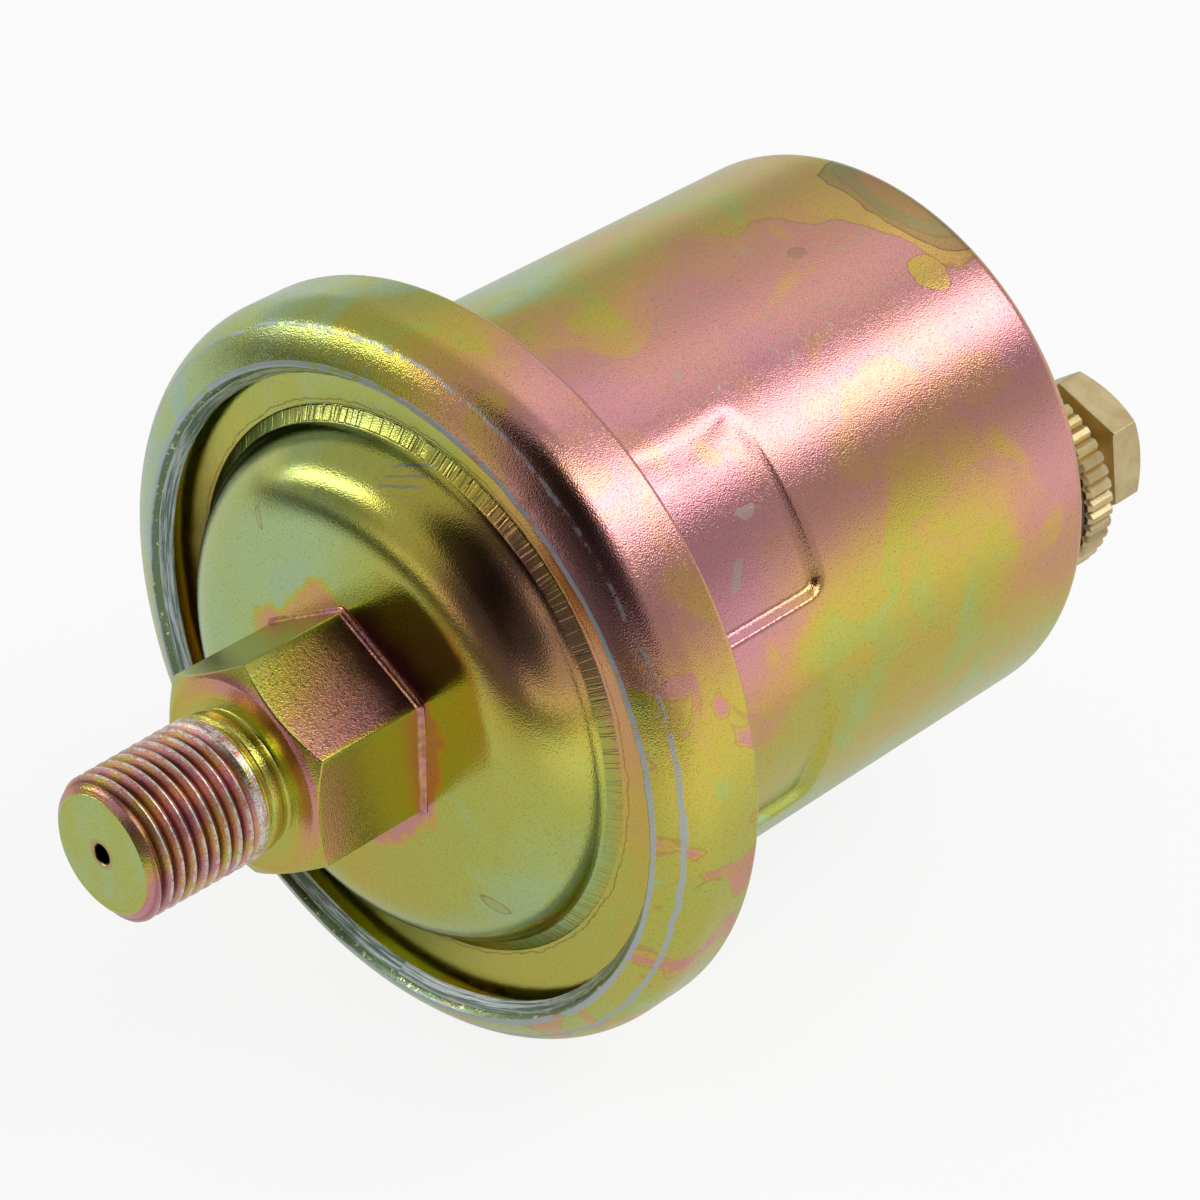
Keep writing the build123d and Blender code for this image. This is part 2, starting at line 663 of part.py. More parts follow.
export_step(wiper_rivet.part, "parts/wiper_rivet.step")
export_step(wiper_contact.part, "parts/wiper_contact.step")
export_step(resistor_former.part, "parts/resistor_former.step")
export_step(resistance_winding.part, "parts/resistance_winding.step")
export_step(card_rivet.part, "parts/card_rivet.step")
export_step(contact_strip.part, "parts/contact_strip.step")
export_step(terminal_stud.part, "parts/terminal_stud.step")
export_step(inner_washer.part, "parts/inner_washer.step")
export_step(outer_washer.part, "parts/outer_washer.step")
export_step(knurled_nut.part, "parts/knurled_nut.step")
export_step(hex_nut.part, "parts/hex_nut.step")
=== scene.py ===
# %% [markdown]
# # A mechanical oil pressure sender
#
# This notebook dresses a pressure sender: a zinc plated and yellow passivated steel can
# with a rolled rim, a drawn cap, a threaded port with a hexagon, and a brass terminal.
# The CAD model is the frame. It says where each piece is, so no piece is placed by eye.
# Blender adds what CAD leaves out: the cut thread, the soft bends of drawn sheet,
# the cut edge of the folded rim, and above all the finish.
#
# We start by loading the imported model. Every object is in metres and stays in its place.

# %% Load the frame
import json
from math import atan2, ceil, cos, degrees, hypot, pi, radians, sin, sqrt, tan

import bmesh
import bpy
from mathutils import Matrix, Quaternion, Vector, noise


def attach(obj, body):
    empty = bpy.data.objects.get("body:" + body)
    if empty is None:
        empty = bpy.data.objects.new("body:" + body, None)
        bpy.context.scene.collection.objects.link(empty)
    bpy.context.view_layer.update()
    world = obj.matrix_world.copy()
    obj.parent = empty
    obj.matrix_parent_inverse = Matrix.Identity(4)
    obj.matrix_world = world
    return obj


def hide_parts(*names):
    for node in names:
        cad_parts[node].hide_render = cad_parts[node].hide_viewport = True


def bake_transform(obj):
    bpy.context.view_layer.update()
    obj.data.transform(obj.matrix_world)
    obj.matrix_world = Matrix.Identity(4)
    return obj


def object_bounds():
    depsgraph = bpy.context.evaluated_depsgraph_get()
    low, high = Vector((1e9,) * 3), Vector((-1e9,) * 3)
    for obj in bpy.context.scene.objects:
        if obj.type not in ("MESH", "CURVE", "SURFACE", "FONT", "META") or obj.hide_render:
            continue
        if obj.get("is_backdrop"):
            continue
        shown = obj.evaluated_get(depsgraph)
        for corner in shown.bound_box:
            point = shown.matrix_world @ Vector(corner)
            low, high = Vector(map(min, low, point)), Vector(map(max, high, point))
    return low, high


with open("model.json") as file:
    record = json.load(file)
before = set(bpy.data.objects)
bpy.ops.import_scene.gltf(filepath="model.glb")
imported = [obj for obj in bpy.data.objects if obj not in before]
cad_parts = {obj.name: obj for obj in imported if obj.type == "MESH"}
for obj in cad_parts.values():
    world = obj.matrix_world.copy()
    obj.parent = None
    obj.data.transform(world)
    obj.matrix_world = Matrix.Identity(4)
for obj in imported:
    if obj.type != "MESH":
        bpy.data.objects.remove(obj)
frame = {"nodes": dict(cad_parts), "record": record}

cad_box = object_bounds()
scene = bpy.context.scene
print("CAD nodes", len(frame["nodes"]))

# %% [markdown]
# ## Sizes
#
# A maker thinks in millimetres, so every size below is in millimetres and the mesh
# helper turns it into metres at the end. The sender lies along X: the thread's tip is at
# the low end and the terminal at the high end. In a profile, the first number is a place
# along X and the second is a radius.

# %% Main sizes
mm = 0.001

thread_r, tip_x, tip_face_r = 5.08, -6.9, 4.08
thread_end_x, hex_x, cap_x = 2.4, 4.7, 13.9
neck_r, hex_flats, hex_corner = 4.5, 14.0, 29.8
cap_shoulder_x, cap_flange_x = 18.6, 19.4
cap_flat_r, cap_band_r, cap_root_r, cap_edge_r = 12.6, 18.55, 19.6, 24.2
can_r, can_back_x, can_end_x, can_floor_x = 20.95, 24.5, 64.7, 63.5
can_inner_r, rim_back_r, rim_inner_r, rim_seat_x = 19.75, 26.65, 25.0, 23.2
lip_x, lip_r = 17.25, 23.4
terminal_y = -13.0
washer_r, knurl_r, knurl_x, nut_x, nut_end_x = 6.9, 7.36, 65.8, 71.8, 74.9
stud_r, stud_end_x = 2.4, 76.0

print("length", can_end_x - tip_x, "mm to the can's end")

# %% [markdown]
# ## The camera
#
# The photograph looks at the sender from the thread's side and from above, with a long
# lens from close by. The thread pitch, the rim and the can's far end fix the camera, so
# the place and the lens below are measured and the shift stays at zero. Blender's camera
# looks along its own -Z axis with Y up, and a tracking quaternion turns it that way.

# %% Camera
camera_data = bpy.data.cameras.new("camera")
camera_data.lens, camera_data.sensor_width = 126.0, 36.0
camera_data.clip_start, camera_data.clip_end = 0.01, 20.0
camera = bpy.data.objects.new("camera", camera_data)
camera.location = (-0.13652, -0.1665, 0.1552)
looks_along = Vector((0.6052, 0.5784, -0.5470))
camera.rotation_euler = looks_along.to_track_quat("-Z", "Y").to_euler()
scene.collection.objects.link(camera)
scene.camera = camera
print("camera looks along", tuple(round(v, 3) for v in looks_along))

# %% [markdown]
# ## One helper for meshes
#
# Every piece is a closed mesh built from points and faces. The helper merges points that
# fall together, such as those on the axis, makes all faces look outwards, shades them
# smooth and marks as sharp each edge that bends by more than a given angle.

# %% Mesh helper
def made_piece(name, points, faces, sharp=32.0):
    mesh = bpy.data.meshes.new(name)
    mesh.from_pydata([(x * mm, y * mm, z * mm) for x, y, z in points], [], faces)
    work = bmesh.new()
    work.from_mesh(mesh)
    bmesh.ops.remove_doubles(work, verts=work.verts, dist=2e-6)
    bmesh.ops.recalc_face_normals(work, faces=work.faces)
    work.to_mesh(mesh)
    work.free()
    mesh.shade_smooth()
    mesh.set_sharp_from_angle(angle=radians(sharp))
    piece = bpy.data.objects.new(name, mesh)
    scene.collection.objects.link(piece)
    print(name, "faces", len(mesh.polygons))
    return piece

# %% [markdown]
# ## Turning a profile with soft bends
#
# Drawn sheet has no sharp outside corners: it bends round the tool. A profile is written
# as corners, each with its own bend radius, and `bent` replaces each corner by an arc.
# The highlights of a metal part live in these bends, so each gets several points.

# %% Bent profiles
def bent(corners, step=11.0):
    path = []
    for i, (x, r, radius) in enumerate(corners):
        here = Vector((x, r))
        to_last = Vector(corners[i - 1][:2]) - here
        to_next = Vector(corners[(i + 1) % len(corners)][:2]) - here
        if radius == 0:
            path.append((x, r))
            continue
        half = to_last.angle(to_next) / 2
        reach = min(radius / tan(half), to_last.length * 0.49, to_next.length * 0.49)
        radius = reach * tan(half)
        middle = here + (to_last.normalized() + to_next.normalized()).normalized() * (
            radius / sin(half))
        start = here + to_last.normalized() * reach - middle
        turn = start.angle_signed(here + to_next.normalized() * reach - middle)
        steps = max(2, ceil(degrees(abs(turn)) / step))
        for k in range(steps + 1):
            a = -turn * k / steps
            path.append((
                middle.x + start.x * cos(a) - start.y * sin(a),
                middle.y + start.x * sin(a) + start.y * cos(a),
            ))
    return path


print("a square bend of 2 mm takes", len(bent([(0, 0, 0), (0, 9, 2), (9, 9, 0)])) - 2, "points")


def turned(name, path, angles, shape=None, centre_y=0.0, sharp=32.0):
    points, faces, n = [], [], len(angles)
    for x, r in path:
        for angle in angles:
            px, pr = shape(x, r, angle) if shape else (x, r)
            points.append((
                px, centre_y + pr * cos(radians(angle)), pr * sin(radians(angle))))
    for i in range(len(path)):
        j = (i + 1) % len(path)
        if path[i][1] == 0 and path[j][1] == 0:
            continue
        for k in range(n):
            m = (k + 1) % n
            faces.append((i * n + k, i * n + m, j * n + m, j * n + k))
    return made_piece(name, points, faces, sharp)


def even(count):
    return [360 * k / count for k in range(count)]

# %% [markdown]
# ## The can and its rolled rim
#
# The can is one deep drawn cup. Its open end is spread into a flange and rolled forward
# over the cap, so the sheet's own cut edge shows as a pale ring in front. Behind the rim
# two shallow pads are pressed into the wall. A boolean cut would leave hard, square
# edges, so the wall's grid is made dense near the pads and each point is pushed in by a
# smooth depth: a rounded rectangle. The photograph shows a soft upper wall about four
# millimetres wide, and narrower walls elsewhere.

# %% Pads pressed into the can
def blend_step(low, high, value):
    t = min(max((value - low) / (high - low), 0), 1)
    return t * t * (3 - 2 * t)


pad_low_x, pad_high_x, pad_depth = 26.6, 38.4, 0.64
pad_sides = ((120.6, 160.6), (174.0, 208.8))
pad_corner, soft_wall, firm_wall = 1.6, 4.2, 0.8


def pad_push(x, angle):
    deepest = 0.0
    for low, high in pad_sides:
        along = abs(x - (pad_low_x + pad_high_x) / 2) - (pad_high_x - pad_low_x) / 2
        across = (abs(angle - (low + high) / 2) - (high - low) / 2) * pi / 180 * can_r
        u, v = along + pad_corner, across + pad_corner
        outside = hypot(max(u, 0), max(v, 0)) + min(max(u, v), 0) - pad_corner
        down = blend_step(low, high, angle)
        side = soft_wall + (firm_wall - soft_wall) * down
        wall = side + (firm_wall - side) * min(max((u - v + 3) / 6, 0), 1)
        deepest = max(deepest, blend_step(0, wall, -outside) * (0.5 + 0.5 * down))
    return pad_depth * deepest


# Rings from the far end to the rim, close together at the two ends of the pads.
wall_x = [can_end_x - 2.4, 60, 56, 52, 48, 44, 41.5]
wall_x += [40.2 - 0.3 * k for k in range(18)] + [34.2, 33, 31.5, 30]
wall_x += [29.2 - 0.3 * k for k in range(12)]
can_angles = sorted(set(
    [2.5 * k for k in range(144)]
    + [side + 0.45 * k for pair in pad_sides for side in pair for k in range(-8, 9)]
))
print("can wall", len(wall_x), "rings by", len(can_angles), "angles")

# %% [markdown]
# The rim's profile goes forward along its outer wall, over a round roll to a soft ridge
# and down a slightly crowned slope to the lip. There the sheet ends: a narrow crushed
# facet and the sheared face both look towards the axis, so they show wide at the bottom of
# the rim and almost hide at its top. The roller left the lip a little off centre and
# slightly wavy. The waviness is a small shift of the lip with the angle, taken from
# Blender's own noise, which gives the same values on each run.

# %% Can mesh
lip_shift_y, lip_shift_z = -0.42, -0.26
ridge_x, ridge_r, ridge_angle = 18.48, 25.46, 41
roll_x, roll_r, slope_r = 21.02, 3.32, 6.9


def can_shape(x, r, angle):
    if can_back_x < x < can_end_x - 1 and r > can_inner_r - 1.2:
        return x, r - pad_push(x, angle)
    if x < cap_flange_x and r < ridge_r:
        a = radians(angle)
        wave = noise.noise(Vector((2.6 * cos(a), 2.6 * sin(a), 4.0)))
        ripple = noise.noise(Vector((14 * cos(a), 14 * sin(a), 9.0)))
        share = min(max((ridge_r - r) / (ridge_r - lip_r), 0), 1)
        off_centre = lip_shift_y * cos(a) + lip_shift_z * sin(a)
        off_round = 0.12 * wave + 0.05 * ripple + off_centre
        return x + share * 0.06 * ripple, r + share * off_round
    return x, r


roll = [
    (roll_x - roll_r * cos(radians(a)), rim_back_r - roll_r * (1 - sin(radians(a))), 0)
    for a in range(90, ridge_angle, -6)
]
slope = [
    (ridge_x + slope_r * (cos(radians(ridge_angle)) - cos(radians(a))),
     ridge_r - slope_r * (sin(radians(ridge_angle)) - sin(radians(a))), 0)
    for a in (37, 33, 29, 25)
]
can_path = bent([
    (can_end_x, 0, 0), (can_end_x, 8, 0), (can_end_x, 14, 0), (can_end_x, can_r, 2.0),
    *[(x, can_r, 0) for x in wall_x],
    (can_back_x, can_r, 0.8), (can_back_x, rim_back_r, 0.55), *roll,
    (ridge_x, ridge_r, 0.25), *slope, (lip_x, lip_r, 0.08), (lip_x + 0.06, lip_r - 0.12, 0),
    (lip_x + 0.46, lip_r - 0.40, 0.06), (lip_x + 1.26, lip_r - 1.0, 0.06),
    (lip_x + 1.36, lip_r - 0.85, 0.04), (lip_x + 1.42, lip_r + 0.1, 0.1),
    (cap_flange_x, lip_r + 0.5, 0), (cap_flange_x, cap_edge_r, 0),
    (cap_flange_x + 1.1, rim_inner_r, 0), (rim_seat_x, rim_inner_r, 0),
    (rim_seat_x, can_inner_r, 0), *[(x, can_inner_r, 0) for x in reversed(wall_x)],
    (can_floor_x, can_inner_r, 0.8), (can_floor_x, 0, 0),
])
can = turned("can_with_rolled_rim", can_path, can_angles, can_shape, sharp=38)

# %% [markdown]
# ## The cap
#
# The cap is a second drawing: a nearly flat middle, a round shoulder and a flat flange.
# Where the shoulder meets the flange the sheet was coined to a narrow band. The middle is
# crowned by a third of a millimetre, which is what bends the reflections of a real
# pressing. The coined band's small folds are left to the bump of its finish.

# %% Cap mesh
shoulder_high, shoulder_end = 4.35, 66
full = radians(shoulder_end)
shoulder = [
    (
        cap_shoulder_x - shoulder_high
        + shoulder_high * (1 - cos(radians(a))) / (1 - cos(full)),
        cap_flat_r + (cap_band_r - cap_flat_r) * sin(radians(a)) / sin(full), 0,
    )
    for a in [*range(0, 61, 5), 63, shoulder_end]
]
cap_path = bent([
    (cap_x, 4.6, 0), (cap_x + 0.02, 7, 0), (cap_x + 0.12, 9, 0), (cap_x + 0.22, 11, 0),
    *shoulder, (cap_shoulder_x + 0.17, 18.72, 0.12), (cap_flange_x - 0.04, cap_root_r, 0.06),
    (cap_flange_x, cap_root_r + 0.12, 0), (cap_flange_x, 21.5, 0), (cap_flange_x, cap_edge_r, 0),
    (cap_flange_x + 1.2, cap_edge_r, 0), (cap_flange_x + 1.2, 18.2, 0),
    (cap_shoulder_x, 17.3, 0), (cap_x + 3, 15.8, 0), (cap_x + 1.6, 12.8, 0),
    (cap_x + 1.25, 4.6, 0),
])
cap = turned("drawn_cap", cap_path, even(180), sharp=38)

# %% [markdown]
# ## The port: thread, neck and hexagon
#
# The port is turned from one bar. Its pipe thread is a true helix, so the mesh follows
# it: one row of points runs along each line of the thread, and each turn of a row joins
# the row one pitch further on. Rows are clamped to the thread's two ends, where the
# doubled points merge. The chamfer at the tip cuts the first turns down, and near the
# neck the groove fades out as the die leaves the work.

# %% Thread helper
def threaded(start, end, pitch, crest_r, depth, chamfer, fade, columns, taper=0.0):
    levels = (0.0, 0.0, 0.5, 1.0, 1.0, 0.5)
    places = (0.0, 0.10, 0.30, 0.50, 0.60, 0.80)
    turns = ceil((end - start) / pitch) + 1
    points, faces = [], []
    for turn in range(-1, turns + 1):
        for level, place in zip(levels, places):
            for k in range(columns):
                x = start + (turn + place + k / columns) * pitch
                x = min(max(x, start), end)
                crest = crest_r - taper * max(end - x, 0)
                cut = depth * level * (1 - blend_step(end - fade, end, x))
                r = min(crest - cut, crest_r - chamfer + (x - start) * 1.4)
                a = 2 * pi * k / columns
                points.append((x, r * cos(a), r * sin(a)))
    rows = (turns + 2) * len(levels)
    for row in range(rows - 1):
        for k in range(columns):
            m = k + 1
            if m < columns:
                faces.append((
                    row * columns + k, row * columns + m,
                    (row + 1) * columns + m, (row + 1) * columns + k))
            elif row + 1 + len(levels) < rows:
                over = (row + len(levels)) * columns
                faces.append((
                    row * columns + k, over, over + columns, (row + 1) * columns + k))
    return points, faces

# %% [markdown]
# The hexagon can't be turned from one profile, because its radius changes with the
# angle. `hexagon_r` gives that radius with slightly rounded corners. The front corners
# are turned off by a cone, so each column's front edge lies where the cone meets it, which
# gives the curved chamfer line of a real nut. The columns come closer near each corner.

# %% Hexagon helper
def hexagon_r(angle, flats, corner_angle, rounding):
    apothem = flats / 2
    off = abs((angle - corner_angle + 30) % 60 - 30)
    reach = (apothem - rounding) / cos(pi / 6)
    limit = 30 - degrees(atan2(tan(pi / 6) * (apothem - rounding), apothem))
    if off > limit:
        return apothem / cos(radians(30 - off))
    d = radians(off)
    return reach * cos(d) + sqrt(rounding**2 - (reach * sin(d))**2)


def hexagon_angles(corner_angle):
    half = (0.45, 0.9, 1.6, 3, 5, 8, 12, 18, 24)
    offs = [-off for off in reversed(half)] + [0, *half, 30]
    return [corner_angle + 60 * side + off for side in range(6) for off in offs]


print("columns round a hexagon", len(hexagon_angles(hex_corner)))

# %% [markdown]
# The tip, the thread, the neck and the hexagon are one object, because they are one
# piece of steel. The thread and the turned rest are two shells that share their end
# rings in place, and the front face is turned with its small orifice, which goes into
# the wider bore.

# %% Port mesh
port_columns, thread_pitch, thread_depth, tip_chamfer = 120, 0.941, 0.56, 1.0
orifice_r, bore_r, bore_x, hex_face_r, hex_rounding = 0.65, 2.0, -3.3, 6.5, 0.22
port_points, port_faces = threaded(
    tip_x, thread_end_x, thread_pitch, thread_r, thread_depth, tip_chamfer, 1.5,
    port_columns, 0.012)


def ring_faces(first, second, count):
    return [
        (first + k, first + (k + 1) % count, second + (k + 1) % count, second + k)
        for k in range(count)
    ]


def add_rings(points, faces, path, columns, centre_y=0.0):
    base = len(points)
    for x, r in path:
        for k in range(columns):
            a = 2 * pi * k / columns
            points.append((x, centre_y + r * cos(a), r * sin(a)))
    for i in range(len(path) - 1):
        faces += ring_faces(base + i * columns, base + (i + 1) * columns, columns)


add_rings(port_points, port_faces, [
    (tip_x, thread_r - tip_chamfer), (tip_x, 2.4), (tip_x, 0.78), (tip_x + 0.12, orifice_r),
    (bore_x, orifice_r), (bore_x, bore_r), (cap_x + 2, bore_r), (cap_x + 2, neck_r),
    (cap_x, neck_r)], port_columns)
add_rings(port_points, port_faces, bent([
    (thread_end_x, thread_r, 0), (thread_end_x + 0.28, neck_r + 0.14, 0.15),
    (thread_end_x + 0.5, neck_r + 0.12, 0.1), (thread_end_x + 0.72, thread_r - 0.14, 0.18),
    (thread_end_x + 1.35, thread_r - 0.14, 0.2), (thread_end_x + 1.7, neck_r + 0.18, 0.25),
    (hex_x - 0.2, neck_r + 0.22, 0.25), (hex_x - 0.05, 5.3, 0.1), (hex_x, 5.45, 0),
    (hex_x, hex_face_r, 0),
], step=9), port_columns)
print("thread turns", round((thread_end_x - tip_x) / thread_pitch, 1))

# %% [markdown]
# The hexagon has its own columns, so it starts from the ring at radius 6.5 with a fan of
# its own. Both rings lie on the same flat face, so nothing shows where they meet.

# %% Hexagon of the port
hex_angles = hexagon_angles(hex_corner)
hex_rows = []
for level in range(9):
    row = []
    for angle in hex_angles:
        r = hexagon_r(angle, hex_flats, hex_corner, hex_rounding)
        cone_x = hex_x + (r - 6.8) * tan(radians(30))
        row.append({
            0: (hex_x, hex_face_r), 1: (hex_x, 6.72), 2: (hex_x + 0.02, 6.8), 3: (cone_x, r - 0.05),
            4: (cone_x + 0.09, r), 5: (8.5, r), 6: (cap_x - 0.3, r), 7: (cap_x + 0.05, r),
            8: (cap_x + 0.05, neck_r),
        }[level])
    hex_rows.append(row)
hex_base, count = len(port_points), len(hex_angles)
for row in hex_rows:
    for (x, r), angle in zip(row, hex_angles):
        port_points.append((x, r * cos(radians(angle)), r * sin(radians(angle))))
for i in range(len(hex_rows) - 1):
    port_faces += ring_faces(hex_base + i * count, hex_base + (i + 1) * count, count)
port = made_piece("threaded_port", port_points, port_faces, sharp=28)

# %% [markdown]
# ## The braze at the hexagon's foot
#
# Filler metal runs round the foot in a small sloping bead. It follows the hexagon, so it
# uses the same columns, with its outer line pushed in and out a little by noise.

# %% Braze mesh
bead_points, bead_faces = [], []
bead_rows = (
    (0.34, 0.0), (0.22, 0.03), (0.12, 0.09), (0.04, 0.19), (0.0, 0.32), (-0.05, 0.36),
    (-0.05, -0.6), (0.34, -0.2))
for lift, spread in bead_rows:
    for angle in hex_angles:
        a = radians(angle)
        wave = 0.12 * noise.noise(Vector((2.4 * cos(a), 2.4 * sin(a), 1.0)))
        r = hexagon_r(angle, hex_flats, hex_corner, hex_rounding + max(spread, 0)) + spread
        r += wave * max(spread, 0)
        bead_points.append((cap_x - lift, r * cos(a), r * sin(a)))
for i in range(len(bead_rows)):
    bead_faces += ring_faces(i * count, ((i + 1) % len(bead_rows)) * count, count)
bead = made_piece("braze_bead", bead_points, bead_faces, sharp=50)

# %% [markdown]
# ## The terminal
#
# The terminal sits off the axis. A dark insulating washer carries a knurled brass nut,
# and a hexagonal nut stands on the knurled nut's collar. The knurl is a row of flat
# topped ridges, so the turned nut's radius changes with the angle, and the end rings
# are drawn in a little for the chamfers.

# %% Washer, knurled nut, nut and stud
ridges, ridge_depth, collar_r = 44, 0.34, 3.4


def knurl(x, r, angle):
    if r < knurl_r - 0.6:
        return x, r
    place = (angle * ridges / 360) % 1
    groove = max(0.0, 1 - abs(place - 0.5) / 0.27)
    return x, r - ridge_depth * groove**0.8


washer = turned("insulating_washer", bent([
    (can_floor_x, stud_r, 0), (can_floor_x, 4.1, 0), (can_end_x, 4.1, 0),
    (can_end_x, washer_r, 0.15), (knurl_x, washer_r, 0.25), (knurl_x, stud_r, 0),
]), even(96), centre_y=terminal_y)

knurled = turned("knurled_nut_body", bent([
    (knurl_x, stud_r, 0), (knurl_x, 6.6, 0), (knurl_x, 7.05, 0),
    (knurl_x + 0.28, knurl_r, 0.12),
    (knurl_x + 1.35, knurl_r, 0), (knurl_x + 2.42, knurl_r, 0.12), (knurl_x + 2.7, 7.05, 0),
    (knurl_x + 2.7, 6.6, 0), (knurl_x + 2.7, collar_r, 0.2), (nut_x, collar_r, 0),
    (nut_x, stud_r, 0),
]), even(ridges * 10), knurl, centre_y=terminal_y, sharp=24)

nut_corner, nut_flats, nut_rounding, nut_face_r = 22.5, 9.53, 0.12, 4.6
nut_angles = hexagon_angles(nut_corner)
nut_points, nut_faces = [], []
for level in range(8):
    for angle in nut_angles:
        r = hexagon_r(angle, nut_flats, nut_corner, nut_rounding)
        cone_x = nut_end_x - (r - nut_face_r) * tan(radians(33))
        x, reach = {
            0: (nut_x, stud_r), 1: (nut_x, r - 0.08), 2: (nut_x + 0.08, r),
            3: (cone_x - 0.08, r), 4: (cone_x, r - 0.05), 5: (nut_end_x - 0.02, nut_face_r),
            6: (nut_end_x, 4.45), 7: (nut_end_x, stud_r),
        }[level]
        a = radians(angle)
        nut_points.append((x, terminal_y + reach * cos(a), reach * sin(a)))
for i in range(8):
    nut_faces += ring_faces(i * len(nut_angles), ((i + 1) % 8) * len(nut_angles), len(nut_angles))
nut = made_piece("terminal_nut", nut_points, nut_faces, sharp=28)

# %% [markdown]
# The stud's threaded end stands a turn proud of the nut. The thread helper makes it as
# well: it starts at the outer end, so the helix is built along X and then turned round to
# face away from the can. Inside the can the stud is plain, with its head.

# %% Stud
stud_columns, stud_pitch, stud_depth, stud_chamfer, stud_cut = 72, 0.5, 0.26, 0.45, 4.0
head_x, head_end_x, head_r = can_floor_x - 1.6, can_floor_x - 3.2, 4.0
stud_points, stud_faces = threaded(
    0.0, stud_cut, stud_pitch, stud_r, stud_depth, stud_chamfer, 0.3, stud_columns)
stud_points = [(stud_end_x - x, terminal_y + y, z) for x, y, z in stud_points]
for path in (
        [(stud_end_x, stud_r - stud_chamfer), (stud_end_x, 0.0)],
        [(stud_end_x - stud_cut, stud_r), (head_x, stud_r), (head_x, head_r),
         (head_end_x, head_r), (head_end_x, 0.0)]):
    add_rings(stud_points, stud_faces, path, stud_columns, terminal_y)
stud = made_piece("terminal_stud_body", stud_points, stud_faces, sharp=28)

# %% [markdown]
# ## Every new piece takes the place of its CAD node
#
# Each dressed piece hides the node that it stands for, rides on the same body and names
# its material slot. The pieces inside the can keep their CAD shapes.

# %% Replace the nodes
dressed = (
    (can, "housing_can", "can_steel"), (cap, "pressure_cap", "cap_steel"),
    (port, "pressure_port", "port_steel"), (bead, "port_braze", "braze"),
    (washer, "outer_washer", "insulator"), (knurled, "knurled_nut", "terminal_brass"),
    (nut, "hex_nut", "terminal_brass"), (stud, "terminal_stud", "terminal_brass"),
)
for piece, node, slot in dressed:
    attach(piece, "case")
    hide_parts(node)
print("dressed", len(dressed), "of", len(frame["nodes"]), "nodes")

# %% [markdown]
# ## Writing shaders as sums
#
# A finish is a sum of masks and shades, so it reads best as arithmetic. `Field` wraps one
# socket and gives it the usual operators: each adds a Math node. `Sheet` is one material,
# with a single method that adds any other node, sets it up first and then fills its
# sockets with numbers or fields. Colours go through Mix, because a Math node would turn
# them grey.

# %% Field, Shading and Sheet
class Field:
    """A value that changes over the surface."""

    def __init__(self, owner, socket):
        self.owner, self.socket = owner, socket

    def _math(self, operation, first, second):
        return self.owner.node(
            "ShaderNodeMath", {"operation": operation}, {0: first, 1: second})

    def __add__(self, other):
        return self._math("ADD", self, other)

    def __sub__(self, other):
        return self._math("SUBTRACT", self, other)

    def __rsub__(self, other):
        return self._math("SUBTRACT", other, self)

    def __mul__(self, other):
        return self._math("MULTIPLY", self, other)

    def __truediv__(self, other):
        return self._math("DIVIDE", self, other)

    def __pow__(self, other):
        return self._math("POWER", self, other)

    __radd__, __rmul__ = __add__, __mul__

    def rise(self, low, high):
        """0 below low, 1 above high, with a soft step between. High may be the smaller."""
        return self.owner.node(
            "ShaderNodeMapRange", {"interpolation_type": "SMOOTHSTEP"},
            {0: self, 1: low, 2: high, 3: 0.0, 4: 1.0})

    def between(self, low, high, soft):
        return self.rise(low - soft, low + soft) * self.rise(high + soft, high - soft)


class Shading:
    """Any node tree: a material's or the world's."""

    def __init__(self, tree):
        self.tree = tree

    def node(self, kind, settings=None, sockets=None, out=0):
        made = self.tree.nodes.new(kind)
        for name, value in (settings or {}).items():
            if name == "stops":
                ramp = made.color_ramp
                while len(ramp.elements) < len(value):
                    ramp.elements.new(0.5)
                for stop, (where, colour) in zip(ramp.elements, value):
                    stop.position, stop.color = where, (*colour, 1.0)
            else:
                setattr(made, name, value)
        for name, value in (sockets or {}).items():
            if isinstance(value, Field):
                self.tree.links.new(value.socket, made.inputs[name])
            else:
                made.inputs[name].default_value = value
        return Field(self, made.outputs[out]) if made.outputs else made

    def mix(self, share, first, second):
        first, second = [
            c if isinstance(c, Field) else (*c, 1.0) for c in (first, second)]
        return self.node(
            "ShaderNodeMix", {"data_type": "RGBA"}, {0: share, 6: first, 7: second}, 2)

    def ramp(self, share, stops):
        return self.node("ShaderNodeValToRGB", {"stops": stops}, {0: share})

    def curve(self, value, points):
        """Straight lines through (value, height) points, both rising from left to right."""
        low, high = points[0][0], points[-1][0]
        share = self.node(
            "ShaderNodeMapRange", None, {0: value, 1: low, 2: high, 3: 0.0, 4: 1.0})
        return self.ramp(share, [((at - low) / (high - low), (h, h, h)) for at, h in points])


def distance(across, along):
    return (across * across + along * along) ** 0.5


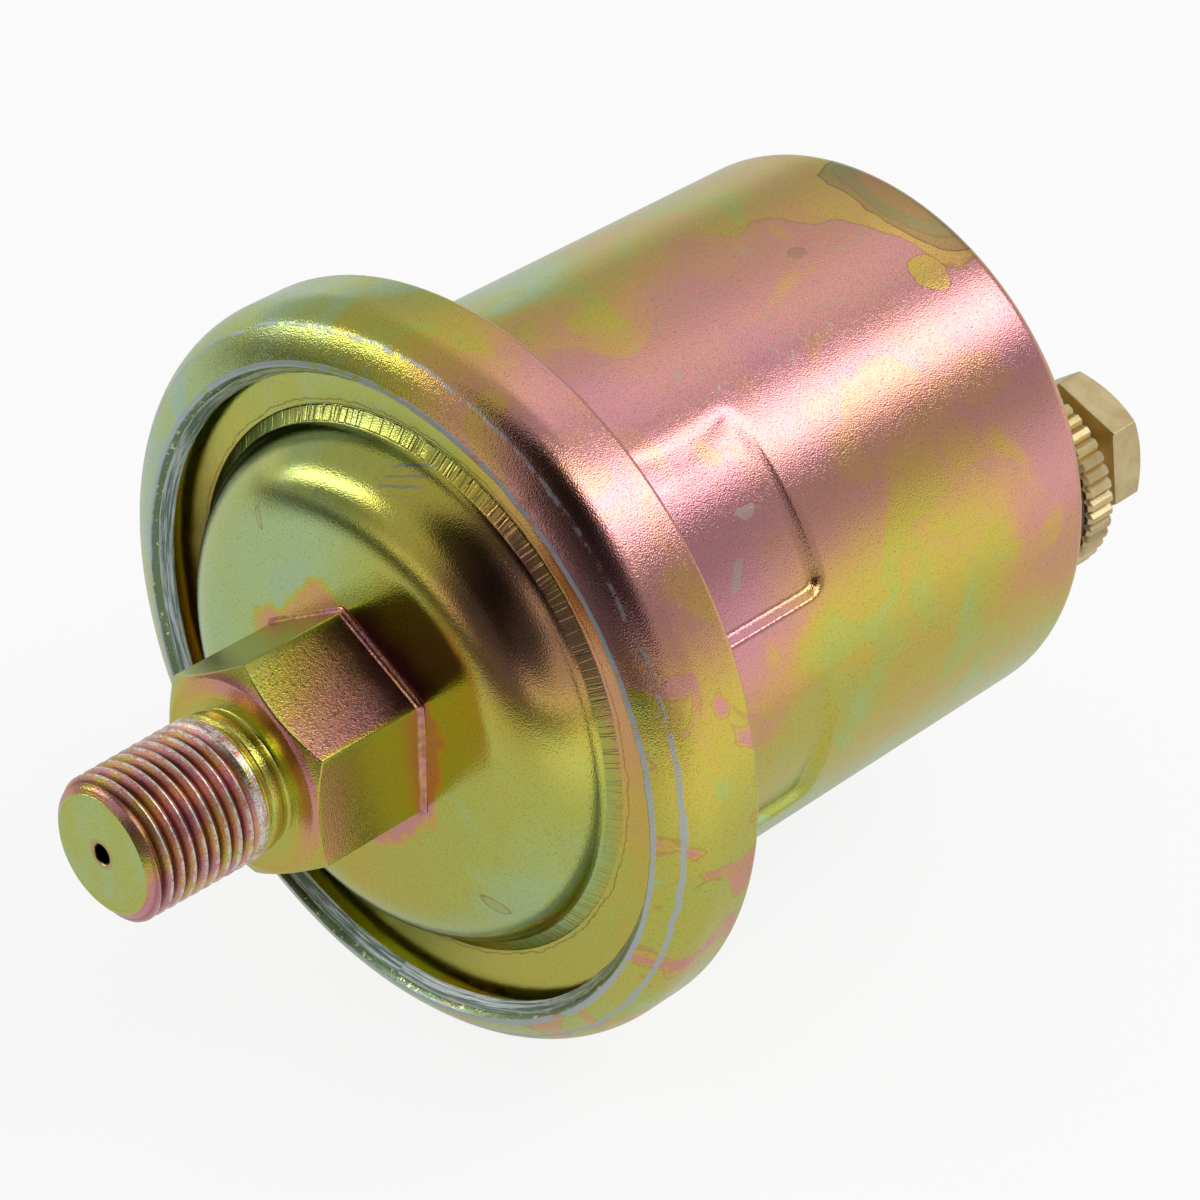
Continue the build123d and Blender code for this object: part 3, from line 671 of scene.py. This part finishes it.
class Sheet(Shading):
    """One procedural material, with the place on the sender in millimetres."""

    def __init__(self, name):
        self.material = bpy.data.materials.new(name)
        self.material.use_nodes = True
        super().__init__(self.material.node_tree)
        self.shader = self.tree.nodes["Principled BSDF"]
        place = self.node("ShaderNodeTexCoord", out="Object")
        self.place = self.node(
            "ShaderNodeVectorMath", {"operation": "SCALE"}, {0: place, 3: 1000.0})
        self.x, self.y, self.z = [
            self.node("ShaderNodeSeparateXYZ", None, {0: self.place}, axis) for axis in "XYZ"]
        self.r = distance(self.y, self.z)
        turn = self.node("ShaderNodeMath", {"operation": "ARCTAN2"}, {0: self.z, 1: self.y})
        self.angle = self.node(
            "ShaderNodeMath", {"operation": "WRAP"}, {0: turn * degrees(1), 1: 270.0, 2: -90.0})

    def grain(self, scale, detail=2.0, rough=0.5, warp=0.0, place=None):
        return self.node("ShaderNodeTexNoise", None, {
            "Vector": place or self.place, "Scale": scale, "Detail": detail,
            "Roughness": rough, "Distortion": warp})

    def wave(self, value):
        return self.node("ShaderNodeMath", {"operation": "SINE"}, {0: value})

    def bump(self, height, depth):
        return self.node("ShaderNodeBump", None, {
            "Height": height, "Distance": depth * mm, "Strength": 1.0})

    def finish(self, **values):
        for name, value in values.items():
            socket = self.shader.inputs[name.replace("_", " ")]
            if isinstance(value, Field):
                self.tree.links.new(value.socket, socket)
            else:
                socket.default_value = value
        print(self.material.name, "nodes", len(self.tree.nodes))
        return self.material


def shade(red, green, blue):
    """A colour as a screen shows it, 0 to 255, in Blender's linear numbers."""
    return tuple(
        c / 12.92 / 255 if c <= 10 else ((c / 255 + 0.055) / 1.055) ** 2.4
        for c in (red, green, blue))

# %% [markdown]
# ## Yellow passivated zinc
#
# The sender is zinc plated and dipped in a chromate bath. The film it leaves is thinner
# than a wave of light, so it shows interference colours: pale green where it is thin,
# then yellow, gold, salmon, pink and violet as it grows. The film's thickness is one
# number, and one ramp turns it into colour. What differs from piece to piece is only the
# map of that number, which follows how the part hung in the bath, how it drained and
# where it touched other parts.

# %% Film colours
film_colours = (
    (0.00, shade(178, 206, 176)), (0.13, shade(186, 210, 146)), (0.27, shade(194, 200, 98)),
    (0.41, shade(212, 192, 84)), (0.55, shade(224, 176, 108)), (0.69, shade(222, 160, 136)),
    (0.84, shade(218, 152, 154)), (1.00, shade(208, 142, 156)),
)
bare_zinc = shade(186, 198, 210)
print("film colours", len(film_colours))


def passivated(name, film_map, roughness=0.17, extra=None, grit=1.0, spread=1.0):
    sheet = Sheet(name)
    clouds = sheet.grain(0.08, 2.0, 0.5, 1.0) - 0.5
    drift = sheet.grain(0.36, 3.0, 0.6, 0.4) - 0.5
    islands = sheet.grain(0.13, 2.0, 0.45, 1.0).rise(0.53, 0.64)
    film = film_map(sheet) + (clouds * 0.40 + drift * 0.12 - islands * 0.14) * spread
    colour = sheet.ramp(film, film_colours)
    speck = sheet.grain(10.0, 0.5, 0.6)
    colour = sheet.mix(speck.rise(0.58, 0.72) * 0.35, colour, shade(110, 84, 66))
    rough = roughness + drift * 0.08
    height = speck
    if extra:
        colour, rough, height = extra(sheet, colour, rough, height)
    return sheet.finish(
        Base_Color=colour, Metallic=1.0, Roughness=rough,
        Normal=sheet.bump(height, 0.016 * grit))

# %% [markdown]
# ## The can's finish
#
# Along the top of the can the film is thick and pink, and towards the flanks it drains
# to gold, olive and pale green, so the map starts as a curve over the angle round the
# can. Its near end and its far end hung in other drops of the bath and get curves of
# their own. Marks that any plated can picks up break the colour: tide lines where the
# bath dried near the far end, small grey rubs, and a bare line of zinc round the rim
# where parts knocked together.

# %% Can film
can_round = ((-90, 0.12), (45, 0.10), (66, 0.14), (80, 0.42), (92, 0.62), (104, 0.76),
             (116, 0.86), (138, 0.84), (150, 0.68), (161, 0.52), (171, 0.40), (184, 0.38),
             (197, 0.36), (206, 0.32), (218, 0.20), (270, 0.14))
can_near = ((-90, 0.14), (60, 0.28), (76, 0.34), (88, 0.74), (116, 0.94), (150, 0.94),
            (166, 0.82), (180, 0.56), (192, 0.40), (215, 0.34), (270, 0.14))
can_far = ((-90, 0.14), (76, 0.26), (90, 0.56), (106, 0.74), (150, 0.84), (168, 0.76),
           (184, 0.56), (205, 0.30), (270, 0.14))
rim_round = ((-90, 0.16), (-62, 0.42), (-45, 0.52), (-22, 0.20), (0, 0.18), (62, 0.18),
             (84, 0.36), (100, 0.56), (114, 0.78), (146, 0.76), (158, 0.48), (172, 0.36),
             (200, 0.32), (240, 0.24), (270, 0.16))


def spot(sheet, x, angle, half_x, half_angle, warp=0.35, scale=0.5):
    wander = (sheet.grain(scale, 2.0, 0.5) - 0.5) * warp * 3
    u = (sheet.x - x) / half_x
    v = (sheet.angle - angle) / half_angle
    return distance(u, v) + wander


def oval_mark(sheet):
    return spot(sheet, 59.5, 118.5, 1.5, 4.2, 0.2)


def drop_noise(sheet):
    return sheet.grain(0.22, 2.0, 0.5, 0.8)


def on_rim(sheet):
    return sheet.x.rise(24.6, 24.2)


def shore(sheet):
    """How many degrees a place lies above the tide line near the can's far end."""
    line = sheet.curve(sheet.x, (
        (41, 0.36), (45, 0.40), (49, 0.42), (51.5, 0.45), (54, 0.455), (57, 0.49),
        (59, 0.52), (60, 0.55), (61, 0.59), (64, 0.60)))
    return line * 200 + (sheet.grain(0.3, 1.0, 0.4) - 0.5) * 12 - sheet.angle


def can_film(sheet):
    angle = sheet.angle + (sheet.grain(0.07, 2.0, 0.5) - 0.5) * 26
    near = (sheet.x + (sheet.grain(0.1, 2.0, 0.5) - 0.5) * 14).rise(38, 29)
    far = (sheet.x + (sheet.grain(0.13, 2.0, 0.5) - 0.5) * 14).rise(53, 62)
    rim = on_rim(sheet)
    film = sheet.curve(angle, can_round)
    film = film * (1 - near) + sheet.curve(angle, can_near) * near
    film = film * (1 - far) + sheet.curve(angle, can_far) * far
    drops = drop_noise(sheet).rise(0.56, 0.60) * sheet.angle.rise(140, 170)
    rim_film = sheet.curve(angle, rim_round) + drops * 0.34
    film = film * (1 - rim) + rim_film * rim
    stained = shore(sheet).rise(-0.4, 0.6) * sheet.x.rise(40, 46)
    film = film * (1 - stained * 0.75) + stained * 0.32
    oval = oval_mark(sheet).rise(1.05, 0.90)
    film = film * (1 - oval * 0.8) + oval * 0.36
    edge = sheet.x.rise(63.6, 64.4)
    return film * (1 - edge * 0.6) + edge * 0.14


print("film curves of the can", len((can_round, can_near, can_far, rim_round)))

# %% [markdown]
# The marks come over the film. On the wall they are the tide line and its pool near the
# far end, two small drops, grey flakes where the can was rubbed, and one short stroke. Each
# is a mask that mixes a darker or greyer colour in, and the flakes are rougher too.

# %% Marks on the can's wall
def wall_marks(sheet, colour, rough, height):
    wet = shore(sheet)
    pool = spot(sheet, 64.3, 100, 4.2, 18, 0.2, 0.3)
    colour = sheet.mix(pool.rise(1.02, 0.96) * 0.45, colour, shade(140, 112, 94))
    colour = sheet.mix(pool.between(0.55, 0.80, 0.06) * 0.45, colour, shade(146, 156, 110))
    rims = wet.between(-0.2, 0.5, 0.5) * sheet.x.rise(46, 60) * pool.rise(0.98, 1.02) * 0.4
    tongue = pool.between(0.97, 1.0, 0.02) + pool.between(0.80, 0.82, 0.02) * 0.6
    oval = oval_mark(sheet).between(0.97, 1.03, 0.04)
    colour = sheet.mix(rims + tongue * 0.7 + oval * 0.4, colour, shade(122, 92, 76))
    drop = spot(sheet, 52.4, 101.6, 0.72, 1.5, 0.1)
    colour = sheet.mix(drop.rise(1.0, 0.85) * 0.35, colour, shade(160, 130, 84))
    colour = sheet.mix(drop.between(0.9, 1.0, 0.08) * 0.5, colour, shade(120, 80, 60))
    worn = sheet.angle.between(94, 122, 6) * sheet.x.between(32, 60, 4) * 0.055
    flakes = (sheet.grain(0.8, 5.0, 0.8, 0.6) + worn).rise(0.65, 0.675)
    flakes = flakes + spot(sheet, 34.6, 140.4, 1.0, 1.4, 0.5, 1.5).rise(1.0, 0.8) * 0.7
    stroke = sheet.x + (sheet.angle - 149.9) * 0.25
    length = sheet.angle.between(147.4, 152.4, 0.5)
    flakes = flakes + stroke.between(31.5, 32.3, 0.15) * length * 0.8
    colour = sheet.mix(flakes * 0.68, colour, shade(176, 180, 158))
    return colour, rough + flakes * 0.15, height

# %% [markdown]
# On the rim the film is gone along the soft ridge and where the sheet ends. The lip stands
# off the axis, so `inward` measures from the lip's own middle. The crushed facet's dark
# green is a painted reflection of the dark dome, and its pale flecks are painted glints.
# The sheared face is bare zinc with streaks along its round.

# %% Marks on the rim and the lip
def rim_marks(sheet, colour, rough, height):
    inward = lip_r - distance(sheet.y - lip_shift_y, sheet.z - lip_shift_z)
    rubbed = sheet.grain(0.6, 5.0, 0.75)
    wander = (sheet.grain(0.35, 3.0, 0.6) - 0.5) * 0.9
    low_side = sheet.angle.between(165, 262, 14) * 0.12
    crest = (sheet.x + wander * 0.7).rise(18.35, 18.45)
    crest = crest * (sheet.x + wander * 0.7 - low_side).rise(18.61, 18.51)
    crest = crest * (rubbed + low_side * 0.6).rise(0.40, 0.56)
    drops = drop_noise(sheet).between(0.545, 0.565, 0.012)
    drops = drops * sheet.angle.rise(140, 170) * on_rim(sheet)
    colour = sheet.mix(drops * 0.45, colour, shade(196, 112, 104))
    colour = sheet.mix(crest * 0.75, colour, bare_zinc)
    turned_in = inward.rise(0.02, 0.06)
    # Painted reflection: the crushed facet's dark green stands for the dark dome it mirrors, with
    # painted glints as pale flecks.
    painted_reflection_on_facet = turned_in * sheet.x.rise(17.73, 17.66)
    painted_glints_on_facet = sheet.grain(2.6, 2.0, 0.6).rise(0.60, 0.66)
    facet_painted_reflection = sheet.mix(painted_glints_on_facet, shade(96, 116, 92), shade(206, 208, 160))
    colour = sheet.mix(painted_reflection_on_facet * 0.85, colour, facet_painted_reflection)
    sheared = turned_in * sheet.x.between(17.70, 18.62, 0.03)
    round_it = sheet.node("ShaderNodeCombineXYZ", None, {
        0: sheet.x * 5.0, 1: sheet.angle * 0.07, 2: inward * 5.0})
    streaks = sheet.grain(1.0, 3.0, 0.7, 0.0, round_it)
    colour = sheet.mix(sheared * 0.95, colour, sheet.mix(
        streaks.rise(0.40, 0.60), shade(112, 132, 132), shade(212, 220, 232)))
    edge = inward.between(-0.34, 0.10, 0.06) * sheet.x.rise(17.6, 17.5)
    colour = sheet.mix(edge * rubbed.rise(0.36, 0.46) * 0.8, colour, bare_zinc)
    bare = crest + sheared + edge
    return colour, rough + bare * 0.2, height + rubbed * bare + streaks * sheared * 3


def can_marks(sheet, *layers):
    return rim_marks(sheet, *wall_marks(sheet, *layers))


can_finish = passivated("can_passivated_zinc", can_film, 0.17, can_marks)

# %% [markdown]
# ## The cap's finish
#
# The dome is thinly coated and pale green on its left, yellow on its right and reddish on
# the shoulder behind, with a pink halo round the hexagon's foot where the brazing heat
# changed the plating. The coined band at the foot of the dome has small folds of the
# sheet, and the fine dark lines across it are painted shade in those folds, stronger on top.

# %% Cap film
dome_round = ((-90, 0.38), (-50, 0.24), (-20, 0.16), (70, 0.13), (96, 0.24), (120, 0.38),
              (190, 0.30), (230, 0.30), (270, 0.38))
shoulder_round = ((-90, 0.24), (-20, 0.16), (90, 0.30), (112, 0.46), (128, 0.68), (150, 0.62),
                  (168, 0.34), (200, 0.20), (270, 0.24))
flange_round = ((-90, 0.34), (-20, 0.52), (10, 0.44), (50, 0.26), (100, 0.28), (118, 0.52),
                (160, 0.62), (200, 0.34), (270, 0.34))


def cap_film(sheet):
    angle = sheet.angle + (sheet.grain(0.08, 2.0, 0.5) - 0.5) * 24
    shoulder = sheet.r.rise(13.2, 16.4)
    flange = sheet.r.rise(18.8, 19.6)
    film = sheet.curve(angle, dome_round) * (1 - shoulder)
    film = film + sheet.curve(angle, shoulder_round) * shoulder
    film = film * (1 - flange) + sheet.curve(angle, flange_round) * flange
    return film + (sheet.r + (sheet.grain(0.4, 2.0, 0.5) - 0.5) * 3).rise(9.5, 8.3) * 0.46


def cap_marks(sheet, colour, rough, height):
    band = sheet.r.between(18.68, 19.56, 0.06)
    swing = sheet.node("ShaderNodeCombineXYZ", None, {0: sheet.angle * 0.36, 1: sheet.r * 0.10})
    folds = sheet.grain(1.0, 2.0, 0.6, 0.0, swing)
    fold_groove_and_painted_shade = folds.between(0.485, 0.515, 0.02)
    segments = 0.3 + 0.7 * sheet.angle.between(58, 128, 12)
    # Painted shade: fine dark lines in the coined band's folds, stronger on top.
    colour = sheet.mix(band * fold_groove_and_painted_shade * segments * 0.75, colour, shade(84, 62, 40))
    colour = sheet.mix(band * sheet.angle.rise(128, 150) * 0.25, colour, shade(120, 150, 104))
    wavy = (sheet.r + (sheet.grain(0.9, 3.0, 0.6) - 0.5) * 0.7).between(19.86, 19.96, 0.05)
    colour = sheet.mix(wavy * 0.55, colour, shade(122, 82, 48))
    scuffs = (sheet.grain(0.7, 2.0, 0.5) * 0.6 + sheet.grain(4.0, 3.0, 0.7) * 0.4).rise(0.62, 0.66)
    colour = sheet.mix(scuffs * 0.4, colour, shade(170, 176, 150))
    for drop_r, drop_angle, half_r, half_angle in ((15.5, 218, 1.1, 2.2), (14.0, 54, 0.8, 1.3)):
        drop = distance((sheet.r - drop_r) / half_r, (sheet.angle - drop_angle) / half_angle)
        drop = drop + (sheet.grain(1.0, 1.0) - 0.5) * 0.5
        colour = sheet.mix(drop.rise(0.9, 0.7) * 0.2, colour, shade(170, 140, 70))
        colour = sheet.mix(drop.between(0.78, 0.96, 0.06) * 0.55, colour, shade(150, 92, 62))
    strokes = (sheet.z - 17.6) + (sheet.y + 2.5) * 0.2 + (sheet.grain(0.8, 2.0) - 0.5) * 0.3
    lines = sheet.wave(strokes * 13.0).rise(0.5, 0.8)
    lines = lines * strokes.between(-0.8, 0.8, 0.1) * (sheet.y + 2.5).between(-1.3, 1.2, 0.4)
    colour = sheet.mix(lines * 0.6, colour, shade(140, 150, 160))
    return colour, rough + band * 0.05, height + band * (folds - fold_groove_and_painted_shade * 0.4) * segments * 9


cap_finish = passivated("cap_passivated_zinc", cap_film, 0.16, cap_marks, 0.6, 0.35)

# %% [markdown]
# ## The port's finish
#
# Turned steel takes the film unevenly: the thread's flanks are pink and red, its crests
# pale green where they were rubbed, and the flat of the tip yellow-green with turning
# rings. The hexagon's sides are drawn bar, so they are rough and speckled. The crests'
# near white is partly bare zinc and partly a painted highlight. Painted shade darkens the
# thread's roots, the top facets towards the hexagon's foot and the inside of the orifice.

# %% Port film
def tip_flat(sheet):
    return sheet.x.rise(-6.85, -6.88)


def turning_rings(sheet):
    return sheet.wave(sheet.r * 11.0)


def port_film(sheet):
    thread = sheet.x.between(-6.84, 2.6, 0.04)
    patches = sheet.grain(0.45, 2.0, 0.5) - 0.5
    thinner = 0.08 - patches * 0.3 + turning_rings(sheet) * 0.015
    film = 0.32 + thread * (0.38 + patches * 1.4) - tip_flat(sheet) * thinner
    hexagon = sheet.x.rise(4.9, 5.4)
    side = sheet.angle.between(92, 148, 3)
    film = film + hexagon * side * ((sheet.x - 5) * 0.03 + (sheet.angle - 96) * 0.008)
    front = 0.10 + (9.0 - sheet.x).rise(0, 3) * 0.14
    film = film + hexagon * sheet.angle.between(152, 208, 3) * front
    ring = sheet.x.between(4.4, 4.95, 0.1) * (0.25 + sheet.angle.between(60, 190, 40) * 0.75)
    return film + ring * sheet.r.rise(5.1, 6.2) * 0.46


def port_marks(sheet, colour, rough, height):
    thread = sheet.x.between(-6.5, 2.6, 0.1)
    fine = sheet.grain(7.0, 3.0, 0.7)
    # Painted shade: the thread's roots are darkened.
    painted_shade_in_thread_roots = thread * sheet.r.rise(4.82, 4.58)
    colour = sheet.mix(painted_shade_in_thread_roots * 0.75, colour, shade(96, 56, 46))
    rubbed = (fine * 0.6 + sheet.grain(1.6, 2.0) * 0.4).rise(0.42, 0.54)
    # The rubbed crests are painted near white: partly bare zinc, partly a painted highlight.
    crest = thread * sheet.r.rise(4.84, 4.97) * rubbed
    colour = sheet.mix(crest * 0.9, colour, shade(234, 236, 224))
    bar = sheet.x.rise(4.9, 5.2) * sheet.r.rise(6.75, 6.9)
    pits = sheet.grain(4.5, 3.0, 0.7)
    top = bar * sheet.angle.between(92, 148, 2)
    pitted = (0.2 + top * 0.8) * bar
    colour = sheet.mix(pitted * pits.rise(0.52, 0.66) * 0.5, colour, shade(92, 66, 54))
    # Painted shade: the top facets darken towards the hexagon's foot.
    painted_shade_at_hex_foot = top * (sheet.x + (sheet.grain(0.5) - 0.5) * 2).rise(10.4, 13.0)
    colour = sheet.mix(painted_shade_at_hex_foot * 0.78, colour, shade(70, 44, 34))
    flat = tip_flat(sheet)
    hole = sheet.r.rise(1.25, 0.75)
    colour = sheet.mix(flat * hole * 0.6, colour, shade(196, 128, 108))
    # Painted shade: the inside of the orifice is painted near black.
    inside = sheet.r.rise(0.76, 0.70)
    colour = sheet.mix(inside, colour, shade(22, 18, 16))
    return (colour, rough + bar * 0.04 + thread * 0.06,
            height + pitted * pits * 1.8 + thread * fine * 2.0 + flat * turning_rings(sheet) * 0.15)


port_finish = passivated("port_passivated_zinc", port_film, 0.2, port_marks, 1.0, 0.35)


def bead_film(sheet):
    return 0.66 + (sheet.grain(0.5, 2.0, 0.5) - 0.5) * 1.2


def bead_marks(sheet, colour, rough, height):
    lumps = sheet.grain(1.6, 2.0, 0.5)
    colour = sheet.mix(lumps.rise(0.3, 0.7) * 0.6, colour, shade(150, 82, 84))
    return colour, rough, height + lumps * 2


bead_finish = passivated("braze_passivated", bead_film, 0.24, bead_marks, 1.0, 0.5)

# %% [markdown]
# ## Brass, insulator and the pieces inside
#
# The terminal's brass is pale and clean, with faint turning marks; painted shade darkens
# the knurl valleys. The washer is a dark plum phenolic. The pieces inside never meet the
# light, but the can may be opened, so each has the finish that its maker would give it.

# %% Brass and washer
def brass():
    sheet = Sheet("terminal_brass_turned")
    out = distance(sheet.y - terminal_y, sheet.z)
    clouds = sheet.grain(0.5, 3.0, 0.6)
    fine = sheet.grain(6.0, 3.0, 0.6)
    colour = sheet.mix(clouds.rise(0.3, 0.7), shade(216, 196, 150), shade(196, 174, 126))
    # Painted shade: the knurl's valleys are darkened.
    painted_shade_in_knurl_valleys = out.rise(7.2, 7.0) * out.rise(6.7, 6.9) * sheet.x.between(65.9, 68.4, 0.1)
    colour = sheet.mix(painted_shade_in_knurl_valleys * 0.55, colour, shade(150, 120, 74))
    return sheet.finish(
        Base_Color=colour, Metallic=1.0, Roughness=0.30 + fine * 0.08,
        Normal=sheet.bump(fine, 0.012))


def insulator():
    sheet = Sheet("insulator_phenolic")
    fine = sheet.grain(4.0, 3.0, 0.6)
    colour = sheet.mix(fine, shade(66, 44, 50), shade(92, 62, 66))
    return sheet.finish(
        Base_Color=colour, Metallic=0.0, Roughness=0.42 + fine * 0.1,
        Normal=sheet.bump(fine, 0.02))


brass_finish, insulator_finish = brass(), insulator()

# %% Finishes inside the can
def plain_finish(name, light, dark, metallic, roughness, scale, height, stretch):
    sheet = Sheet(name)
    long = sheet.node(
        "ShaderNodeVectorMath", {"operation": "MULTIPLY"}, {0: sheet.place, 1: stretch})
    grain = sheet.grain(scale, 3.0, 0.6, 0.0, long)
    colour = sheet.mix(grain.rise(0.3, 0.7), shade(*light), shade(*dark))
    return sheet.finish(
        Base_Color=colour, Metallic=metallic, Roughness=roughness + grain * 0.1,
        Normal=sheet.bump(grain, height))


# Slot and kind; light and dark colour; metallic, roughness, scale, bump; stretch.
inside_rows = (
    ("seal_rubber", "black", (44, 44, 46), (30, 30, 33), (0.0, 0.62, 3.0, 0.03), (1, 1, 1)),
    ("spring_bronze", "rolled", (196, 150, 102), (168, 120, 78),
     (1.0, 0.30, 2.0, 0.01), (1, 1, 6)),
    ("plain_steel", "pressed", (176, 178, 176), (146, 148, 148),
     (1.0, 0.34, 1.5, 0.012), (4, 1, 1)),
    ("small_steel", "turned", (190, 190, 186), (150, 150, 148),
     (1.0, 0.28, 3.0, 0.01), (1, 1, 1)),
    ("contact_silver", "bright", (222, 222, 218), (196, 196, 192),
     (1.0, 0.22, 3.0, 0.008), (1, 1, 1)),
    ("former_board", "laminate", (150, 112, 70), (122, 86, 50),
     (0.0, 0.55, 1.2, 0.02), (1, 5, 1)),
    ("winding_wire", "turns", (186, 160, 128), (112, 86, 60),
     (1.0, 0.35, 5.0, 0.08), (0.05, 1, 0.05)),
)
inside_finishes = {
    slot: plain_finish(f"{slot}_{kind}", light, dark, *numbers, stretch)
    for slot, kind, light, dark, numbers, stretch in inside_rows
}
print("finishes inside", len(inside_finishes))

# %% [markdown]
# The dressed pieces take their finish directly. A CAD node inside takes the finish of
# the slot that the record gives it.

# %% Assign the finishes
finishes = {
    "can_steel": can_finish, "cap_steel": cap_finish, "port_steel": port_finish,
    "braze": bead_finish, "terminal_brass": brass_finish, "insulator": insulator_finish,
    **inside_finishes,
}
for piece, node, slot in dressed:
    piece.data.materials.append(finishes[slot])
for entry in frame["record"]["subparts"]:
    body = frame["nodes"][entry["node"]]
    body.data.materials.clear()
    body.data.materials.append(finishes[entry["material_slot"]])
print("slots", sorted(finishes))

# %% [markdown]
# ## The return spring
#
# The spring stands between the clip on the pin, which moves, and the frame's bridge,
# which doesn't. Its CAD solid rides on the case alone, so at full travel the clip would
# cut into its last coil. Here a copy of its mesh is baked into place and the node is
# hidden; the copy keeps the CAD shape and rides on no body.

# %% Copy the spring in place of its node
spring_node = frame["nodes"]["return_spring"]
spring = bpy.data.objects.new("coil_spring", spring_node.data.copy())
scene.collection.objects.link(spring)
spring.data.transform(spring_node.matrix_world)
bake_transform(spring)
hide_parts("return_spring")

# %% [markdown]
# ## The studio
#
# The sender lies on a pale floor that ends in white. Bright metal shows the room more than
# its own colour, so the room matters: white all round the horizon, a little dimmer above,
# bright again overhead, and dark where the camera stands, as black flags make it in a
# studio. The world is that room. A direction is a vector, so each soft
# patch is a dot product with the patch's middle. The camera still sees plain white, and
# diffuse light is even, so colours render about as written.

# %% World
scene.view_settings.view_transform = "Standard"
world = bpy.data.worlds.new("studio")
scene.world = world
world.use_nodes = True
world.node_tree.nodes.clear()
room = Shading(world.node_tree)
way = room.node("ShaderNodeTexCoord", out="Generated")
height = room.node("ShaderNodeSeparateXYZ", None, {0: way}, "Z")


def toward(direction, inner, outer):
    facing = room.node(
        "ShaderNodeVectorMath", {"operation": "DOT_PRODUCT"},
        {0: way, 1: Vector(direction).normalized()}, "Value")
    return facing.rise(cos(radians(outer)), cos(radians(inner)))


across = room.node("ShaderNodeSeparateXYZ", None, {0: way}, "Y")
walls = 0.58 + height.rise(0.22, 0.04) * 0.42 + toward((0.55, 0.32, 0.77), 8, 32) * 0.26
walls = walls + toward((0.60, 0.04, 0.80), 5, 17) * 0.44
walls = walls * (1 - 0.42 * height.between(0.44, 0.53, 0.06) * across.rise(-0.3, -0.5))
walls = walls * (1 - 0.55 * toward((-0.64, 0.76, 0.10), 8, 24))
for middle, inner, outer, depth in (
        ((-0.93, -0.20, 0.20), 13, 28, 0.86), ((-0.66, -0.55, 0.50), 14, 28, 0.88),
        ((-0.66, -0.20, 0.72), 16, 27, 0.94), ((-0.38, -0.33, 0.86), 12, 24, 0.84)):
    walls = walls * (1 - depth * toward(middle, inner, outer))
camera_sees = room.node("ShaderNodeLightPath", out="Is Camera Ray")
glass_sees = room.node("ShaderNodeLightPath", out="Is Transmission Ray")
metal_sees = room.node("ShaderNodeLightPath", out="Is Glossy Ray")
strength = 0.75 + camera_sees * 0.25 + glass_sees * 0.25 + metal_sees * (walls - 0.75)
sky = room.node("ShaderNodeBackground", None, {"Strength": strength})
room.node("ShaderNodeOutputWorld", None, {0: sky})
print("world nodes", len(world.node_tree.nodes))

# %% [markdown]
# The floor is matt paper with a shadow. The camera and the metal also see a share of plain
# light in it, so that it stays nearly white while the shadow under the rim still shows.
# The metal also sees painted dark on it: a painted dark zone in front of the sender and a
# painted shadow under the can and behind it.

# %% Floor
def flat_sheet(name, centre, across, up):
    centre, across, up = Vector(centre), Vector(across), Vector(up)
    mesh = bpy.data.meshes.new(name)
    mesh.from_pydata([
        centre - across - up, centre + across - up, centre + across + up, centre - across + up,
    ], [], [(0, 1, 2, 3)])
    made = bpy.data.objects.new(name, mesh)
    scene.collection.objects.link(made)
    made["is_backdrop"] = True
    return made


floor = flat_sheet("floor", (0.03, 0, -rim_back_r * mm - 1e-5), (3, 0, 0), (0, 3, 0))
paper = bpy.data.materials.new("floor_paper")
paper.use_nodes = True
paper.node_tree.nodes.clear()
ground = Shading(paper.node_tree)
camera_sees = ground.node("ShaderNodeLightPath", out="Is Camera Ray")
metal_sees = ground.node("ShaderNodeLightPath", out="Is Glossy Ray")
matt = ground.node("ShaderNodeBsdfDiffuse", None, {"Color": (0.84, 0.84, 0.84, 1)})
place = ground.node("ShaderNodeTexCoord", out="Object")
# Painted dark zone: the metal sees the floor dark in front of the sender.
front = ground.node("ShaderNodeSeparateXYZ", None, {0: place}, "X").rise(-0.04, -0.18)
# Painted shadow: the metal sees the floor darker under the can and behind it.
near = ground.node("ShaderNodeSeparateXYZ", None, {0: place}, "Y").rise(-0.10, -0.035)
lit = ground.node("ShaderNodeEmission", None, {
    "Strength": camera_sees + metal_sees * (1.0 - front * 0.86) * (1.0 - near * 0.34)})
both = ground.node("ShaderNodeMixShader", None, {
    0: camera_sees * 0.86 + metal_sees * (0.7 + front * 0.3), 1: matt, 2: lit})
ground.node("ShaderNodeOutputMaterial", None, {0: both})
floor.data.materials.append(paper)
print("floor", round(rim_back_r, 2), "mm below the axis")

# %% [markdown]
# Two soft boxes do the rest. The long one lies along the can, high on the camera's right,
# and draws the long highlight. The other stands low on the left, turned so that its long
# side slants, and lights the shoulder of the dome and the inner side of the rim.

# %% Soft boxes
def soft_box(name, place, aim, width, height, radiance, roll=0):
    data = bpy.data.lights.new(name, "AREA")
    data.shape, data.size, data.size_y = "RECTANGLE", width, height
    data.energy = radiance * pi * width * height
    lamp = bpy.data.objects.new(name, data)
    lamp.location = place
    facing = (Vector(aim) - Vector(place)).to_track_quat("-Z", "Y")
    lamp.rotation_euler = (facing @ Quaternion((0, 0, 1), radians(roll))).to_euler()
    scene.collection.objects.link(lamp)
    return lamp


soft_box("long_box", (0.39, -0.281, 0.440), (0.39, 0, 0), 0.90, 0.20, 2.5)
soft_box("left_box", (-0.31, 0.45, 0.22), (0, 0, 0), 0.36, 0.085, 3.5, roll=36)

# %% Sizes and finish
dressed_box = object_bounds()
for cad_corner, corner in zip(cad_box, dressed_box):
    print([round(v * 1000, 2) for v in cad_corner], [round(v * 1000, 2) for v in corner])
